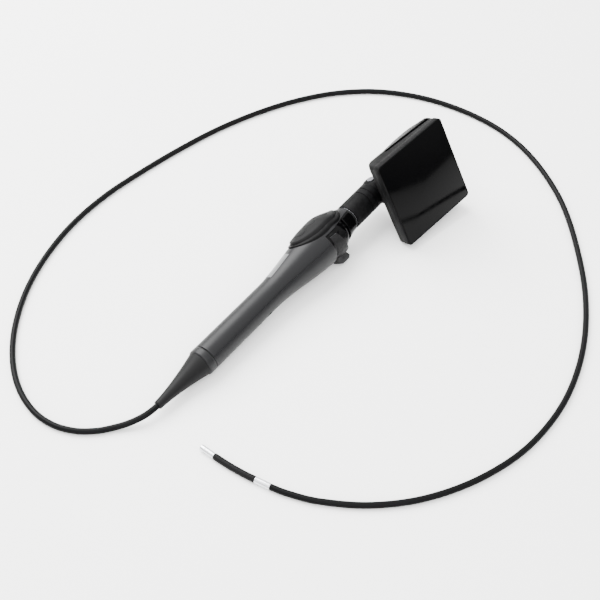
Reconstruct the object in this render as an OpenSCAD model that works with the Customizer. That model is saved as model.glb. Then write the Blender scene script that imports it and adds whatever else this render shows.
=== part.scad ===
// Articulating inspection videoscope: slim grip, thumb lever, swivelling screen and a long insertion tube.
// The handle is drawn along X with its keypad on +Z and its lever on -Z, then rolled on to its side.

/* [Handle] */
// Length from the nose to the neck seam
handle_len = 208; // [190:1:230]
// Diameter of the straight grip
grip_d = 25.6; // [22:0.1:30]
// Largest diameter of the head
head_d = 41; // [38:0.5:48]
// Wall of the grip shells
wall = 2; // [1.6:0.1:2.4]
// Where the grip starts to widen, from the nose
flare_start = 90; // [80:1:110]
// Length of the ring at the nose
nose_ring_len = 8; // [6:0.5:12]
// Length of the flexible strain relief
relief_len = 53; // [40:1:70]
// Diameter of the strain relief at its thin end
relief_end_d = 8; // [7:0.1:11]

/* [Keypad] */
// Length of the oval keypad
keypad_len = 64; // [56:1:72]
// Width of the oval keypad
keypad_w = 35; // [30:0.5:37]
// Width of the rim around the keypad
rim_w = 2.6; // [1.8:0.1:3.2]
// How far the rubber pad stands above the head
pad_rise = 2.8; // [1.5:0.1:3.5]
// Travel of a key
key_travel = 0.6; // [0.3:0.1:0.8]

/* [Lever] */
// Width of the lever's arms at their top
band_w = 7.2; // [5:0.2:9]
// Width of the lever at its foot
foot_w = 15; // [10:0.5:16]
// Thickness of the lever's band
band_t = 2; // [1.5:0.1:2.2]
// Radius at which the band slides over the guard
band_r = 19.2; // [18.8:0.1:19.6]
// Slant of the lever, its foot leading its arms
band_slant = 11; // [4:1:14]
// Width of the thumb tab
tab_w = 10.4; // [8:0.2:12]
// Radius of the thumb tab's outer face
tab_r = 28.2; // [26:0.5:30]
// Diameter of the lever's shaft
shaft_d = 4; // [3:0.1:5]
// Pitch radius of the pull wires on the pulley
pulley_r = 7.3; // [6:0.1:8]
// Diameter of a pull wire
wire_d = 0.8; // [0.6:0.1:1]

/* [Neck] */
// Diameter of the neck barrel
neck_d = 25.6; // [23:0.1:28]
// Distance from the neck seam to the tilt pin
pin_reach = 44; // [40:1:60]
// Diameter of the tilt pin
pin_d = 5; // [4:0.1:6]
// Radius of the round hinge knuckle
knuckle_r = 13.6; // [13:0.1:14]
// Width of the hinge tongue
tongue_w = 9.2; // [7:0.1:11]
// Diameter of the swivel spindle
spindle_d = 16; // [12:0.5:18]

/* [Screen] */
// Height of the screen module
screen_h = 86; // [76:1:110]
// Width of the screen module
screen_w = 88; // [80:1:120]
// Corner radius of the screen module
screen_corner = 4; // [2:0.5:8]
// Distance from the tilt pin to the front of the glass
screen_reach = 45; // [44:0.5:52]
// How far the screen's lower edge lies below the tilt pin
screen_drop = 18; // [14:0.5:20]
// Depth of the front frame
frame_depth = 7; // [6:0.5:9]
// Depth of the module at its edges
edge_depth = 13; // [12:0.5:14]
// Depth of the module where the bracket is fixed
seat_depth = 24; // [22:0.5:25]
// Depth of the hump on the back
hump_depth = 33; // [28:0.5:34]
// Wall of the screen covers
cover_wall = 2; // [1.5:0.1:2.4]
// Thickness of the cover glass
glass_t = 1.1; // [0.7:0.1:1.5]
// Width of the port slot in the side of the screen
slot_w = 3.8; // [3:0.1:3.9]
// Length of the port slot
slot_len = 58; // [40:1:62]

/* [Insertion tube] */
// Diameter of the insertion tube
tube_d = 5.5; // [4:0.1:6]
// Length of the metal ring before the bending section
ring_len = 14; // [10:0.5:20]
// Diameter of the metal ring
ring_d = 5.8; // [5.6:0.1:6.4]
// Length of the bending section
bend_len = 40; // [35:1:60]
// Diameter of the bending section's rubber cover
cover_d = 5.8; // [5.6:0.1:5.9]
// Length of the camera tip
tip_len = 14; // [10:0.5:20]
// Diameter of the camera tip
tip_d = 5.4; // [5.2:0.1:5.6]

/* [Lying pose] */
// Roll of the handle about its own axis
roll = -41; // [-50:1:-30]
// Rise of the handle towards the screen
rise = 3.4; // [2:0.1:4]
// Turn of the screen about the handle's axis
neck_turn = 104; // [90:1:120]
// Lean of the screen about the tilt pin
screen_lean = 7; // [0:0.5:12]

/* [Hidden] */
$fn = 72;

// Colours
satin = [0.16, 0.16, 0.19];
black = [0.06, 0.06, 0.07];
matte = [0.10, 0.10, 0.11];
steel = [0.75, 0.75, 0.77];
brass = [0.80, 0.65, 0.30];
board = [0.05, 0.30, 0.15];
white = [0.90, 0.90, 0.92];

// Clearances
run_fit = 0.05;
free_gap = 0.3;
eps = 0.01;

// Where the row's origin lies below the handle
stand_x = -131;
stand_y = 22;

// Handle: radii and stations along X, measured from the nose
grip_r = grip_d / 2;
head_r = head_d / 2;
neck_r = neck_d / 2;
nose_r = grip_r + 0.1;
nose_soft = 1.2;
nose_height = nose_r * cos(rise) - nose_soft * sin(rise);
head_x = handle_len - 38;
head_flat = 4;
shell_x = handle_len - 2;
pivot_x = handle_len - 28;
shell_end_x = pivot_x - 15.2;
shell_end_lean = -3;
arm_top = 8.6;
bore_r = grip_r - wall;

// Smooth step between 0 and 1
function ease(u) = u <= 0 ? 0 : u >= 1 ? 1 : u * u * (3 - 2 * u);

// Outer radius of the handle at a distance x from the nose
function skin_r(x) =
    x < head_x
    ? grip_r + (head_r - grip_r) * ease((x - flare_start) / (head_x - flare_start))
    : neck_r + (head_r - neck_r) * (1 - ease((x - head_x - head_flat) / (shell_x - head_x - head_flat)));

// Stations at which the turned outline bends
function stations(a, b, n) = [for (i = [0 : n]) a + (b - a) * i / n];
flare_x = stations(flare_start, head_x, 11);
taper_x = stations(head_x + head_flat, shell_x, 6);
handle_x = concat([nose_ring_len], flare_x, taper_x);

// Keypad
pad_x = head_x;
pad_gap = 0.8;
key_gap = 0.3;
key_rise = pad_rise + 0.6;
key_dx = 15;
key_len = 11;
key_w = 13;
key_stem_r = 2;
key_foot = head_r - 3.2;

// Lever, drawn around its pivot
guard_r = band_r - 0.4;
guard_wall = 2;
band_out = band_r + band_t;
ear_r = 4.4;
arm_mid = -8.1;
arm_end = 4.5;
tab_cut = 2.5;
lip_r = head_r - wall - 0.3;
lip_x = pivot_x - 19;
pulley_rim_r = pulley_r - wire_d / 2 - free_gap;
pulley_w = 6;
shaft_end = band_out - 1;
cap_r = shaft_d / 2 + 1;
bush_r = shaft_d / 2 + 1.6;
block_x = pivot_x - 66;
block_len = 6;
conduit_r = wire_d / 2 + 0.45;
stop_low = pulley_r - 2.2;
stop_high = pulley_r + 2.2;

// Screws that close the shells
screw_x = [79, 141];
screw_y = 6.5;
screw_r = 1.2;
screw_head_r = 2;
screw_head_z = -8.2;
boss_r = 3;

// Neck and hinge, drawn with the tilt pin along Y
pin_x = handle_len + pin_reach;
neck_gap = 0.6;
cup_gap = 0.7;
spindle_r = spindle_d / 2;
bush_len = 9;
washer_t = 0.6;
ear_in = tongue_w / 2 + washer_t + 0.05;
ear_out = knuckle_r - 1;
arm_low = 2.5;
arm_high = 8;
base_t = 3;
base_w = 40;
base_low = 6;
base_high = 10;

// Screen, drawn around the tilt pin with the glass facing +Z
glass_z = screen_reach;
frame_z = glass_z - frame_depth;
seat_z = glass_z - seat_depth;
cover_inset = 0.8;
seat_x0 = 12;
seat_x1 = 29;
hump_x0 = 50;
hump_x1 = 64;
hump_x2 = 71;
side_flat = 17.5;
side_lean = 7;
slot_x = 26;
slot_back = 15;
slot_deep = 5;
slot_lean = 4;
rim_in = 3;
panel_t = 3;
post_in = 9.5;
cover_screw_r = 1.5;

// Distal end, which lies on the table
link_count = 6;
joint_count = link_count - 1;
link_pitch = bend_len / joint_count;
bend_max = 22;
link_turn = -2;
ring_dir = 100;
ring_x = -183;
ring_y = -98;
distal_z = ring_d / 2 + 0.05;
sleeve_gap = cover_d / 2 * tan(bend_max / 2) + 0.03;
link_r = cover_d / 2 - 0.4;
link_bore = link_r - 0.35;
link_gap = link_r * tan(bend_max / 2) + 0.03;
lug_r = 0.6;
rivet_r = 0.4;

// Route of the insertion tube from the strain relief to the metal ring, on the row's axes
lie = tube_d / 2 + 0.05;
exit_drop = relief_len * sin(rise);
exit_x = stand_x - relief_len * cos(rise);
exit_z = nose_height - exit_drop;
route = [
    [exit_x, stand_y, exit_z],
    [-196, 24, 8.2],
    [-208, 30, 5.4],
    [-219, 38, 3.4],
    [-231, 48, lie],
    [-242, 62, lie],
    [-249, 81, lie],
    [-249, 104, lie],
    [-240, 131, lie],
    [-222, 158, lie],
    [-195, 184, lie],
    [-160, 207, lie],
    [-120, 224, lie],
    [-75, 235, lie],
    [-28, 238, lie],
    [20, 234, lie],
    [68, 227, lie],
    [115, 217, lie],
    [160, 202, lie],
    [202, 182, lie],
    [240, 155, lie],
    [270, 120, lie],
    [290, 76, lie],
    [298, 27, lie],
    [294, -20, lie],
    [276, -66, lie],
    [243, -114, lie],
    [198, -157, lie],
    [147, -195, lie],
    [92, -223, lie],
    [35, -238, lie],
    [-22, -238, lie],
    [-72, -224, lie],
    [-115, -200, lie],
    [-147, -170, lie],
    [-169, -137, lie],
    [-179, -113, lie],
    [ring_x, ring_y, distal_z]
];
route_sides = 10;
route_steps = 2;

// ---- Placing ----

// Handle frame to the row's frame
module lay_handle() {
    translate([stand_x, stand_y, nose_height])
        rotate([0, -rise, 0])
            rotate([roll, 0, 0])
                children();
}

// Neck frame to the row's frame
module lay_neck() {
    lay_handle()
        rotate([neck_turn, 0, 0])
            children();
}

// Screen frame to the row's frame
module lay_screen() {
    lay_neck()
        translate([pin_x, 0, 0])
            rotate([0, -screen_lean, 0])
                children();
}

// Heading and place of the distal pieces: index 0 is the ring, 1 to joint_count the joints
function heading(i) = ring_dir + link_turn * i;
function joint_at(i) =
    i == 0
    ? [ring_x + ring_len * cos(ring_dir), ring_y + ring_len * sin(ring_dir)]
    : let (p = joint_at(i - 1), d = i == 1 ? link_pitch / 2 : link_pitch, a = heading(i - 1))
        [p[0] + d * cos(a), p[1] + d * sin(a)];

module lay_ring() {
    translate([ring_x, ring_y, distal_z])
        rotate([0, 0, ring_dir])
            children();
}

// Frame of joint i, with +X towards the tip
module lay_joint(i) {
    translate([joint_at(i)[0], joint_at(i)[1], distal_z])
        rotate([0, 0, heading(i)])
            children();
}

// ---- Shared shapes ----

// A solid turned about X from points [radius, x]
module turned(points) {
    rotate([0, 90, 0])
        rotate_extrude()
            polygon(points);
}

// The handle's outline between two stations, grown by off
module handle_form(x0, x1, off) {
    inner = [for (x = handle_x) if (x > x0 && x < x1) [skin_r(x) + off, x]];
    outline = concat([[0, x0], [skin_r(x0) + off, x0]], inner, [[skin_r(x1) + off, x1], [0, x1]]);
    turned(outline);
}

// A rod along X
module rod_x(r, x0, x1) {
    translate([x0, 0, 0])
        rotate([0, 90, 0])
            cylinder(r = r, h = x1 - x0);
}

// A rod along Y, centred on the XZ plane
module rod_y(r, len) {
    rotate([90, 0, 0])
        cylinder(r = r, h = len, center = true);
}

// A box from its low and high corners
module block(low, high) {
    translate(low)
        cube(high - low);
}

// A plate with rounded corners, from its low and high corners
module round_plate(low, high, r) {
    size = high - low;
    translate([low[0], low[1], low[2]]) {
        translate([r, 0, 0])
            cube([size[0] - 2 * r, size[1], size[2]]);
        translate([0, r, 0])
            cube([size[0], size[1] - 2 * r, size[2]]);
        for (x = [r, size[0] - r], y = [r, size[1] - r])
            translate([x, y, 0])
                cylinder(r = r, h = size[2]);
    }
}

// An oval prism over the keypad, from z0 up
module oval_prism(len, w, z0, h) {
    points = [for (a = [0 : 7.5 : 352.5]) [len / 2 * cos(a), w / 2 * sin(a)]];
    translate([pad_x, 0, z0])
        linear_extrude(h)
            polygon(points);
}

// ---- Handle ----

// Space swept by the lever's band between the guard and the shells
module lever_path() {
    translate([pivot_x, 0, 0])
        intersection() {
            difference() {
                sphere(r = band_out + free_gap);
                sphere(r = guard_r);
            }
            block([-26, -30, -30], [12.5, 30, arm_top]);
        }
}

// Half-space towards the nose of the shells' slanted end
module nose_side() {
    translate([shell_end_x, 0, 0])
        rotate([0, shell_end_lean, 0])
            block([-2 * handle_len, -40, -handle_len], [0, 40, handle_len]);
}

// Recessed lip at the shells' end, hollowed to clear the lever
module shell_lip(low, high) {
    intersection() {
        difference() {
            union() {
                rod_x(lip_r, lip_x, pivot_x - 8);
                rod_x(lip_r + 1, lip_x, shell_end_x - 1);
            }
            rod_x(lip_r - wall, 0, handle_len);
            translate([pivot_x, 0, 0])
                sphere(r = band_out + free_gap);
        }
        block([0, -40, low], [handle_len, 40, high]);
    }
}

module shell_body(x1) {
    difference() {
        handle_form(nose_ring_len, x1, 0);
        handle_form(nose_ring_len - 1, x1 + 1, -wall);
    }
}

// Screw posts of the shells, cut to the inside of the handle
module screw_bosses(low, high) {
    intersection() {
        at_screws(low)
            cylinder(r = boss_r, h = high - low);
        handle_form(nose_ring_len, shell_x, -wall / 2);
    }
}

module at_screws(z) {
    for (x = screw_x, y = [-screw_y, screw_y])
        translate([x, y, z])
            children();
}

module front_shell() {
    color(satin)
        lay_handle()
            difference() {
                union() {
                    intersection() {
                        shell_body(shell_x);
                        union() {
                            intersection() {
                                nose_side();
                                block([0, -40, free_gap / 2], [shell_x, 40, 40]);
                            }
                            block([shell_end_x - 6, -40, arm_top + free_gap], [shell_x, 40, 40]);
                        }
                    }
                    intersection() {
                        handle_form(nose_ring_len, shell_x, -wall / 2);
                        oval_prism(keypad_len, keypad_w, key_foot - 4, 2);
                    }
                    screw_bosses(free_gap / 2, head_r);
                    shell_lip(free_gap / 2, arm_top);
                }
                at_screws(0)
                    cylinder(r = screw_r, h = 6);
                lever_path();
                oval_prism(keypad_len - 2 * rim_w, keypad_w - 2 * rim_w, key_foot - 2.5, 20);
                for (dx = [-key_dx, 0, key_dx])
                    translate([pad_x + dx, 0, 0])
                        cylinder(r = key_stem_r + key_gap, h = 30);
            }
}

module rear_shell() {
    color(satin)
        lay_handle()
            difference() {
                union() {
                    intersection() {
                        union() {
                            shell_body(shell_end_x + 8);
                            screw_bosses(-head_r, -free_gap / 2);
                        }
                        nose_side();
                        block([0, -40, -40], [handle_len, 40, -free_gap / 2]);
                    }
                    shell_lip(-head_r, -free_gap / 2);
                }
                lever_path();
                block([lip_x - 1, -tab_w / 2 - 0.8, -40], [handle_len, tab_w / 2 + 0.8, -9]);
                at_screws(-head_r - 1)
                    cylinder(r = screw_r + 0.1, h = head_r + 2);
                at_screws(-head_r - 1)
                    cylinder(r = screw_head_r + 0.2, h = head_r + 1 + screw_head_z + 0.05);
            }
}

module shell_screws() {
    color(steel)
        lay_handle()
            at_screws(screw_head_z) {
                translate([0, 0, -1.2])
                    cylinder(r = screw_head_r, h = 1.2);
                cylinder(r = screw_r, h = 5.8 - screw_head_z);
            }
}

module nose_ring() {
    color(black)
        lay_handle()
            turned([
                [bore_r - 1, 0],
                [nose_r - 0.5, 0],
                [nose_r, nose_soft],
                [nose_r, nose_ring_len - 0.1],
                [bore_r - 1, nose_ring_len - 0.1]
            ]);
}

// Radius of the strain relief at a distance from its thin end
function relief_r(x) = relief_end_d / 2 + (nose_r - 1 - relief_end_d / 2) * pow(x / relief_len, 1.55);

module strain_relief() {
    steps = 12;
    outline = [for (i = [0 : steps]) [relief_r(relief_len * i / steps), relief_len * (i / steps - 1)]];
    color(matte)
        lay_handle()
            difference() {
                union() {
                    turned(concat([[0, -relief_len]], outline, [[0, 0]]));
                    rod_x(bore_r - 1.2, -0.5, nose_ring_len - 1);
                }
                rod_x(tube_d / 2 + run_fit, -relief_len + 2, nose_ring_len);
            }
}

module tube_anchor() {
    color(brass)
        lay_handle()
            difference() {
                union() {
                    rod_x(tube_d / 2, -relief_len + 2.1, nose_ring_len + 6);
                    rod_x(bore_r - 0.1, nose_ring_len + 0.1, nose_ring_len + 3);
                }
                rod_x(tube_d / 2 - 0.7, -relief_len + 2, nose_ring_len + 7);
            }
}

module lever_guard() {
    color(black)
        lay_handle()
            difference() {
                union() {
                    intersection() {
                        translate([pivot_x, 0, 0])
                            sphere(r = guard_r);
                        block([pivot_x - 16, -30, -30], [shell_x, 30, arm_top]);
                    }
                    intersection() {
                        handle_form(pivot_x + 13, shell_x, 0);
                        block([0, -30, -30], [handle_len, 30, arm_top]);
                    }
                }
                intersection() {
                    translate([pivot_x, 0, 0])
                        sphere(r = guard_r - guard_wall);
                    block([0, -30, -30], [pivot_x + 11, 30, 30]);
                }
                rod_x(bore_r, pivot_x + 6, handle_len);
                translate([pivot_x, 0, 0])
                    rod_y(bush_r, 60);
                rod_x(12, pivot_x - 20, pivot_x - 8);
            }
}

// A pad over the head: the handle's outline grown by off, cut to an oval
module pad_form(off, len, w, z0) {
    intersection() {
        handle_form(pad_x - keypad_len / 2 - 2, shell_x - 0.5, off);
        oval_prism(len, w, z0, 30);
    }
}

module keypad_rim() {
    color(black)
        lay_handle()
            difference() {
                pad_form(1.1, keypad_len, keypad_w, arm_top + free_gap);
                handle_form(nose_ring_len, shell_x, eps);
                oval_prism(keypad_len - 2 * rim_w + 0.02, keypad_w - 2 * rim_w + 0.02, 0, 40);
            }
}

module keypad_pad() {
    len = keypad_len - 2 * rim_w - 2 * pad_gap;
    w = keypad_w - 2 * rim_w - 2 * pad_gap;
    color(matte)
        lay_handle()
            difference() {
                pad_form(pad_rise, len, w, key_foot - 2.4);
                for (dx = [-key_dx, 0, key_dx])
                    translate([pad_x + dx, 0, 0]) {
                        key_cut();
                        cylinder(r = key_stem_r + key_gap, h = 30);
                    }
            }
}

module key_cut() {
    translate([0, 0, key_foot - key_travel - 1])
        key_outline(key_len + 2 * key_gap, key_w + 2 * key_gap, 30);
}

// Key outline: a round-ended bar across the handle
module key_outline(len, w, h) {
    r = len / 2;
    block([-r, -(w / 2 - r), 0], [r, w / 2 - r, h]);
    for (y = [-(w / 2 - r), w / 2 - r])
        translate([0, y, 0])
            cylinder(r = r, h = h);
}

module key(dx) {
    color(matte)
        lay_handle()
            union() {
                intersection() {
                    handle_form(pad_x - keypad_len / 2, shell_x - 0.5, key_rise);
                    translate([pad_x + dx, 0, key_foot])
                        key_outline(key_len, key_w, 20);
                }
                translate([pad_x + dx, 0, key_foot - 3.4])
                    cylinder(r = key_stem_r, h = 4);
            }
}

module key_up() {
    key(-key_dx);
}

module key_shutter() {
    key(0);
}

module key_down() {
    key(key_dx);
}

module keypad_board() {
    z0 = key_foot - 6.6;
    color(board)
        lay_handle() {
            block([pad_x - 24, -7.5, z0], [pad_x + 19, 7.5, z0 + 1.2]);
            for (dx = [-key_dx, 0, key_dx])
                translate([pad_x + dx, 0, z0])
                    cylinder(r = 1.6, h = 2.3);
        }
}

module main_board() {
    color(board)
        lay_handle() {
            block([86, -9, -2], [pivot_x - 44, 9, -0.8]);
            block([92, -5, -0.82], [102, 5, 1.2]);
            block([108, -4, -0.82], [114, 4, 0.4]);
        }
}

module battery_cell() {
    color([0.25, 0.35, 0.55])
        lay_handle()
            translate([0, 0, 3])
                union() {
                    rod_x(7, 20, 68);
                    rod_x(2.5, 68, 69.5);
                }
}

module battery_contacts() {
    color(steel)
        lay_handle() {
            block([18.6, -4, -1], [19.8, 4, 7]);
            block([69.7, -4, -1], [70.9, 4, 7]);
        }
}

module wire_stops() {
    color(brass)
        lay_handle()
            difference() {
                union() {
                    block([block_x, -4, stop_low], [block_x + block_len, 4, stop_high]);
                    block([block_x, -4, -stop_high], [block_x + block_len, 4, -stop_low]);
                }
                for (z = [-pulley_r, pulley_r])
                    translate([0, 0, z])
                        rod_x(wire_d / 2 + run_fit, block_x - 1, block_x + block_len + 1);
            }
}

module wire_conduits() {
    color(steel)
        lay_handle()
            for (y = [-1.6, 1.6])
                translate([0, y, -7.6])
                    difference() {
                        rod_x(conduit_r, nose_ring_len + 7, block_x - 8);
                        rod_x(wire_d / 2 + run_fit, nose_ring_len + 6, block_x - 7);
                    }
}

module lever_bushes() {
    color(brass)
        lay_handle()
            translate([pivot_x, 0, 0])
                difference() {
                    union() {
                        rod_y(bush_r, 2 * (guard_r - 0.3));
                        rod_y(bush_r + 1.5, 2 * (guard_r - guard_wall - 1));
                    }
                    rod_y(shaft_d / 2 + run_fit, 60);
                    rod_y(bush_r + 4, 2 * (guard_r - guard_wall - 2.3));
                }
}

module swivel_bush() {
    color(brass)
        lay_handle()
            difference() {
                rod_x(bore_r - 0.05, shell_x - bush_len, shell_x);
                rod_x(spindle_r + run_fit, shell_x - bush_len - 1, shell_x + 1);
            }
}

module seal_ring() {
    color(black)
        lay_handle()
            difference() {
                rod_x(neck_r - 0.9, shell_x, handle_len - 0.1);
                rod_x(spindle_r + 1, shell_x - 1, handle_len + 1);
            }
}

module label_plate() {
    color(white)
        lay_handle()
            intersection() {
                difference() {
                    handle_form(flare_start, head_x, 0.25);
                    handle_form(flare_start - 1, head_x + 1, eps);
                }
                block([pad_x - 68, -4.4, 0], [pad_x - 39, 4.4, 40]);
            }
}

// ---- Lever ----

// Front (side 1) or back (side -1) edge of the lever at a height z
function lever_edge(side, z) =
    let(down = arm_end - z, whole = arm_end + tab_r)
    arm_mid + down * tan(band_slant) + side * (band_w + (foot_w - band_w) * down / whole) / 2;

// Side outline of the lever's arms, which widen towards the foot
module arm_slab() {
    rotate([90, 0, 0])
        linear_extrude(60, center = true)
            polygon([
                [lever_edge(-1, arm_end), arm_end],
                [lever_edge(1, arm_end), arm_end],
                [lever_edge(1, -tab_r), -tab_r],
                [lever_edge(-1, -tab_r), -tab_r]
            ]);
}

// Thumb tab: its side outline and its end outline, both with cut corners
module thumb_tab() {
    side = [
        [lever_edge(-1, 2.5 - band_out), 2.5 - band_out],
        [lever_edge(-1, 3.5 - tab_r), 3.5 - tab_r],
        [lever_edge(-1, -tab_r) + 3.5, -tab_r],
        [lever_edge(1, -tab_r) - 3, -tab_r],
        [lever_edge(1, 3 - tab_r), 3 - tab_r],
        [lever_edge(1, 2 - band_out), 2 - band_out],
        [0, 1 - band_out]
    ];
    end = [
        [-tab_w / 2, 3 - band_out],
        [-tab_w / 2, tab_cut - tab_r],
        [tab_cut - tab_w / 2, -tab_r],
        [tab_w / 2 - tab_cut, -tab_r],
        [tab_w / 2, tab_cut - tab_r],
        [tab_w / 2, 3 - band_out]
    ];
    intersection() {
        rotate([90, 0, 0])
            linear_extrude(2 * tab_w, center = true)
                polygon(side);
        rotate([90, 0, 90])
            linear_extrude(60, center = true)
                polygon(end);
    }
}

module bend_lever() {
    color(matte)
        lay_handle()
            translate([pivot_x, 0, 0])
                difference() {
                    union() {
                        intersection() {
                            sphere(r = band_out);
                            union() {
                                arm_slab();
                                rod_y(ear_r, 60);
                            }
                        }
                        thumb_tab();
                    }
                    sphere(r = band_r);
                    rod_y(shaft_d / 2 + eps, 60);
                    at_shaft_ends()
                        cylinder(r = cap_r + eps, h = 5);
                }
}

// Ends of the lever's shaft, with +Z pointing outwards
module at_shaft_ends() {
    for (m = [0, 1])
        mirror([0, m, 0])
            translate([0, shaft_end, 0])
                rotate([-90, 0, 0])
                    children();
}

module lever_shaft() {
    color(steel)
        lay_handle()
            translate([pivot_x, 0, 0])
                rod_y(shaft_d / 2, 2 * shaft_end);
}

module wire_pulley() {
    color(brass)
        lay_handle()
            translate([pivot_x, 0, 0])
                difference() {
                    union() {
                        rod_y(pulley_rim_r, pulley_w);
                        rod_y(shaft_d / 2 + 2, pulley_w + 4);
                    }
                    rod_y(shaft_d / 2 + eps, 60);
                }
}

module lever_caps() {
    color(black)
        lay_handle()
            translate([pivot_x, 0, 0])
                at_shaft_ends()
                    translate([0, 0, 0.02])
                        cylinder(r = cap_r, h = 0.9);
}

module pull_wire(z) {
    color(steel)
        lay_handle()
            translate([0, 0, z]) {
                rod_x(wire_d / 2, block_x - 6, pivot_x + 1);
                rod_x(wire_d / 2 + 0.6, block_x + block_len + 8, block_x + block_len + 13);
            }
}

module pull_wire_front() {
    pull_wire(pulley_r);
}

module pull_wire_rear() {
    pull_wire(-pulley_r);
}

// ---- Neck ----

// Slab of the hinge between two distances from the tongue's middle, on both sides
module hinge_slabs(y0, y1) {
    for (m = [0, 1])
        mirror([0, m, 0])
            block([-30, y0, -30], [30, y1, 30]);
}

module neck_barrel() {
    color(matte)
        lay_neck()
            difference() {
                union() {
                    difference() {
                        rod_x(neck_r, handle_len + neck_gap, pin_x);
                        translate([pin_x, 0, 0])
                            sphere(r = knuckle_r + cup_gap);
                    }
                    translate([pin_x, 0, 0])
                        intersection() {
                            union() {
                                rod_y(knuckle_r - 0.2, tongue_w);
                                rod_x(neck_r - 1.5, -knuckle_r - cup_gap - 1, 0);
                            }
                            block([-20, -tongue_w / 2, -20], [20, tongue_w / 2, 20]);
                        }
                    rod_x(spindle_r, shell_x - bush_len - 3, handle_len + neck_gap + 1);
                }
                rod_x(spindle_r - 3, shell_x - bush_len - 4, pin_x - knuckle_r - 4);
                translate([pin_x, 0, 0])
                    rod_y(pin_d / 2 + run_fit, 40);
                ring_groove();
            }
}

// Groove of the retaining ring on the spindle
module ring_groove() {
    difference() {
        rod_x(spindle_r + 1, shell_x - bush_len - 1.6, shell_x - bush_len - 0.4);
        rod_x(spindle_r - 1, shell_x - bush_len - 2, shell_x - bush_len);
    }
}

module retaining_ring() {
    color(steel)
        lay_neck()
            difference() {
                rod_x(bore_r - 0.8, shell_x - bush_len - 1.5, shell_x - bush_len - 0.5);
                rod_x(spindle_r - 0.95, shell_x - bush_len - 2, shell_x - bush_len);
                block([0, -2.5, 0], [handle_len, 2.5, 20]);
            }
}

module wave_washer() {
    color(steel)
        lay_neck()
            difference() {
                rod_x(neck_r - 1.2, handle_len + 0.1, handle_len + neck_gap - 0.05);
                rod_x(spindle_r + 0.1, handle_len - 1, handle_len + neck_gap + 1);
            }
}

// ---- Screen ----

module hinge_bracket() {
    z1 = seat_z - 0.05;
    z0 = z1 - base_t;
    color(matte)
        lay_screen()
            difference() {
                union() {
                    intersection() {
                        sphere(r = knuckle_r);
                        hinge_slabs(ear_in, ear_out);
                    }
                    intersection() {
                        block([-arm_low, -ear_out, 0], [arm_high, ear_out, z0 + 1]);
                        hinge_slabs(ear_in, ear_out);
                    }
                    round_plate([-base_low, -base_w / 2, z0], [base_high, base_w / 2, z1], 2);
                }
                rod_y(pin_d / 2 + eps, 40);
                for (m = [0, 1])
                    mirror([0, m, 0])
                        for (x = [-2.5, 6.5])
                            translate([x, base_w / 2 - 3.5, 0])
                                cylinder(r = 1.3, h = 40);
            }
}

module hinge_pin() {
    color(steel)
        lay_screen()
            union() {
                rod_y(pin_d / 2, 2 * ear_out);
                translate([0, ear_out + 0.5, 0])
                    rod_y(pin_d / 2 + 1, 1);
                translate([0, -ear_out - 0.5, 0])
                    rod_y(pin_d / 2 + 1, 1);
            }
}

module hinge_washers() {
    color(steel)
        lay_screen()
            difference() {
                intersection() {
                    rod_y(6.5, 40);
                    hinge_slabs(tongue_w / 2 + 0.05, ear_in);
                }
                rod_y(pin_d / 2 + eps, 40);
            }
}

module bracket_screws() {
    color(steel)
        lay_screen()
            for (m = [0, 1])
                mirror([0, m, 0])
                    for (x = [-2.5, 6.5])
                        translate([x, base_w / 2 - 3.5, seat_z - base_t - 1.3]) {
                            cylinder(r = 2.3, h = 1.2);
                            cylinder(r = 1.2, h = base_t + 4.5);
                        }
}

// Side outline of the back cover: [distance up the screen, depth behind the glass]
cover_top = screen_h - cover_inset;
hump_line = [
    [cover_inset, edge_depth],
    [seat_x0, seat_depth],
    [seat_x1, seat_depth],
    [hump_x0, hump_depth - 1.5],
    [hump_x1, hump_depth],
    [hump_x2, hump_depth - 1],
    [screen_h - 5, edge_depth + 5],
    [cover_top, edge_depth]
];

// Side outline between the frame's back and the hump line moved in by t
module cover_outline(t, x0, x1) {
    low = [x0, frame_depth];
    high = [x1, frame_depth];
    line = [for (p = hump_line) [max(x0, min(x1, p[0])), p[1] - t]];
    polygon(concat([low], line, [high]));
}

// Solid with that outline, across the screen
module cover_form(t, x0, x1, w) {
    translate([-screen_drop, w / 2, glass_z])
        rotate([90, 0, 0])
            linear_extrude(w)
                mirror([0, 1])
                    cover_outline(t, x0, x1);
}

// Solid whose sides lean in behind the screen
module drafted_form() {
    half = screen_w / 2 - cover_inset;
    translate([-screen_drop - 1, 0, glass_z])
        rotate([90, 0, 90])
            linear_extrude(screen_h + 2)
                polygon([
                    [-half, 0],
                    [-half, -side_flat],
                    [side_lean - half, -hump_depth - 1],
                    [half - side_lean, -hump_depth - 1],
                    [half, -side_flat],
                    [half, 0]
                ]);
}

// Corner of the screen module in the screen frame
function sx(a) = a - screen_drop;

module slot_space(grow, deep) {
    translate([sx(slot_x), screen_w / 2 - cover_inset - deep, glass_z - slot_back - slot_w / 2 - 1.5])
        rotate([0, -slot_lean, 0])
            block([-grow, 0, -grow], [slot_len + grow, deep + 1, slot_w + grow]);
}

module screw_posts(r, z0, z1) {
    for (x = [sx(post_in), sx(screen_h - post_in)], y = [-1, 1])
        translate([x, y * (screen_w / 2 - post_in), z0])
            cylinder(r = r, h = z1 - z0);
}

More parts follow.
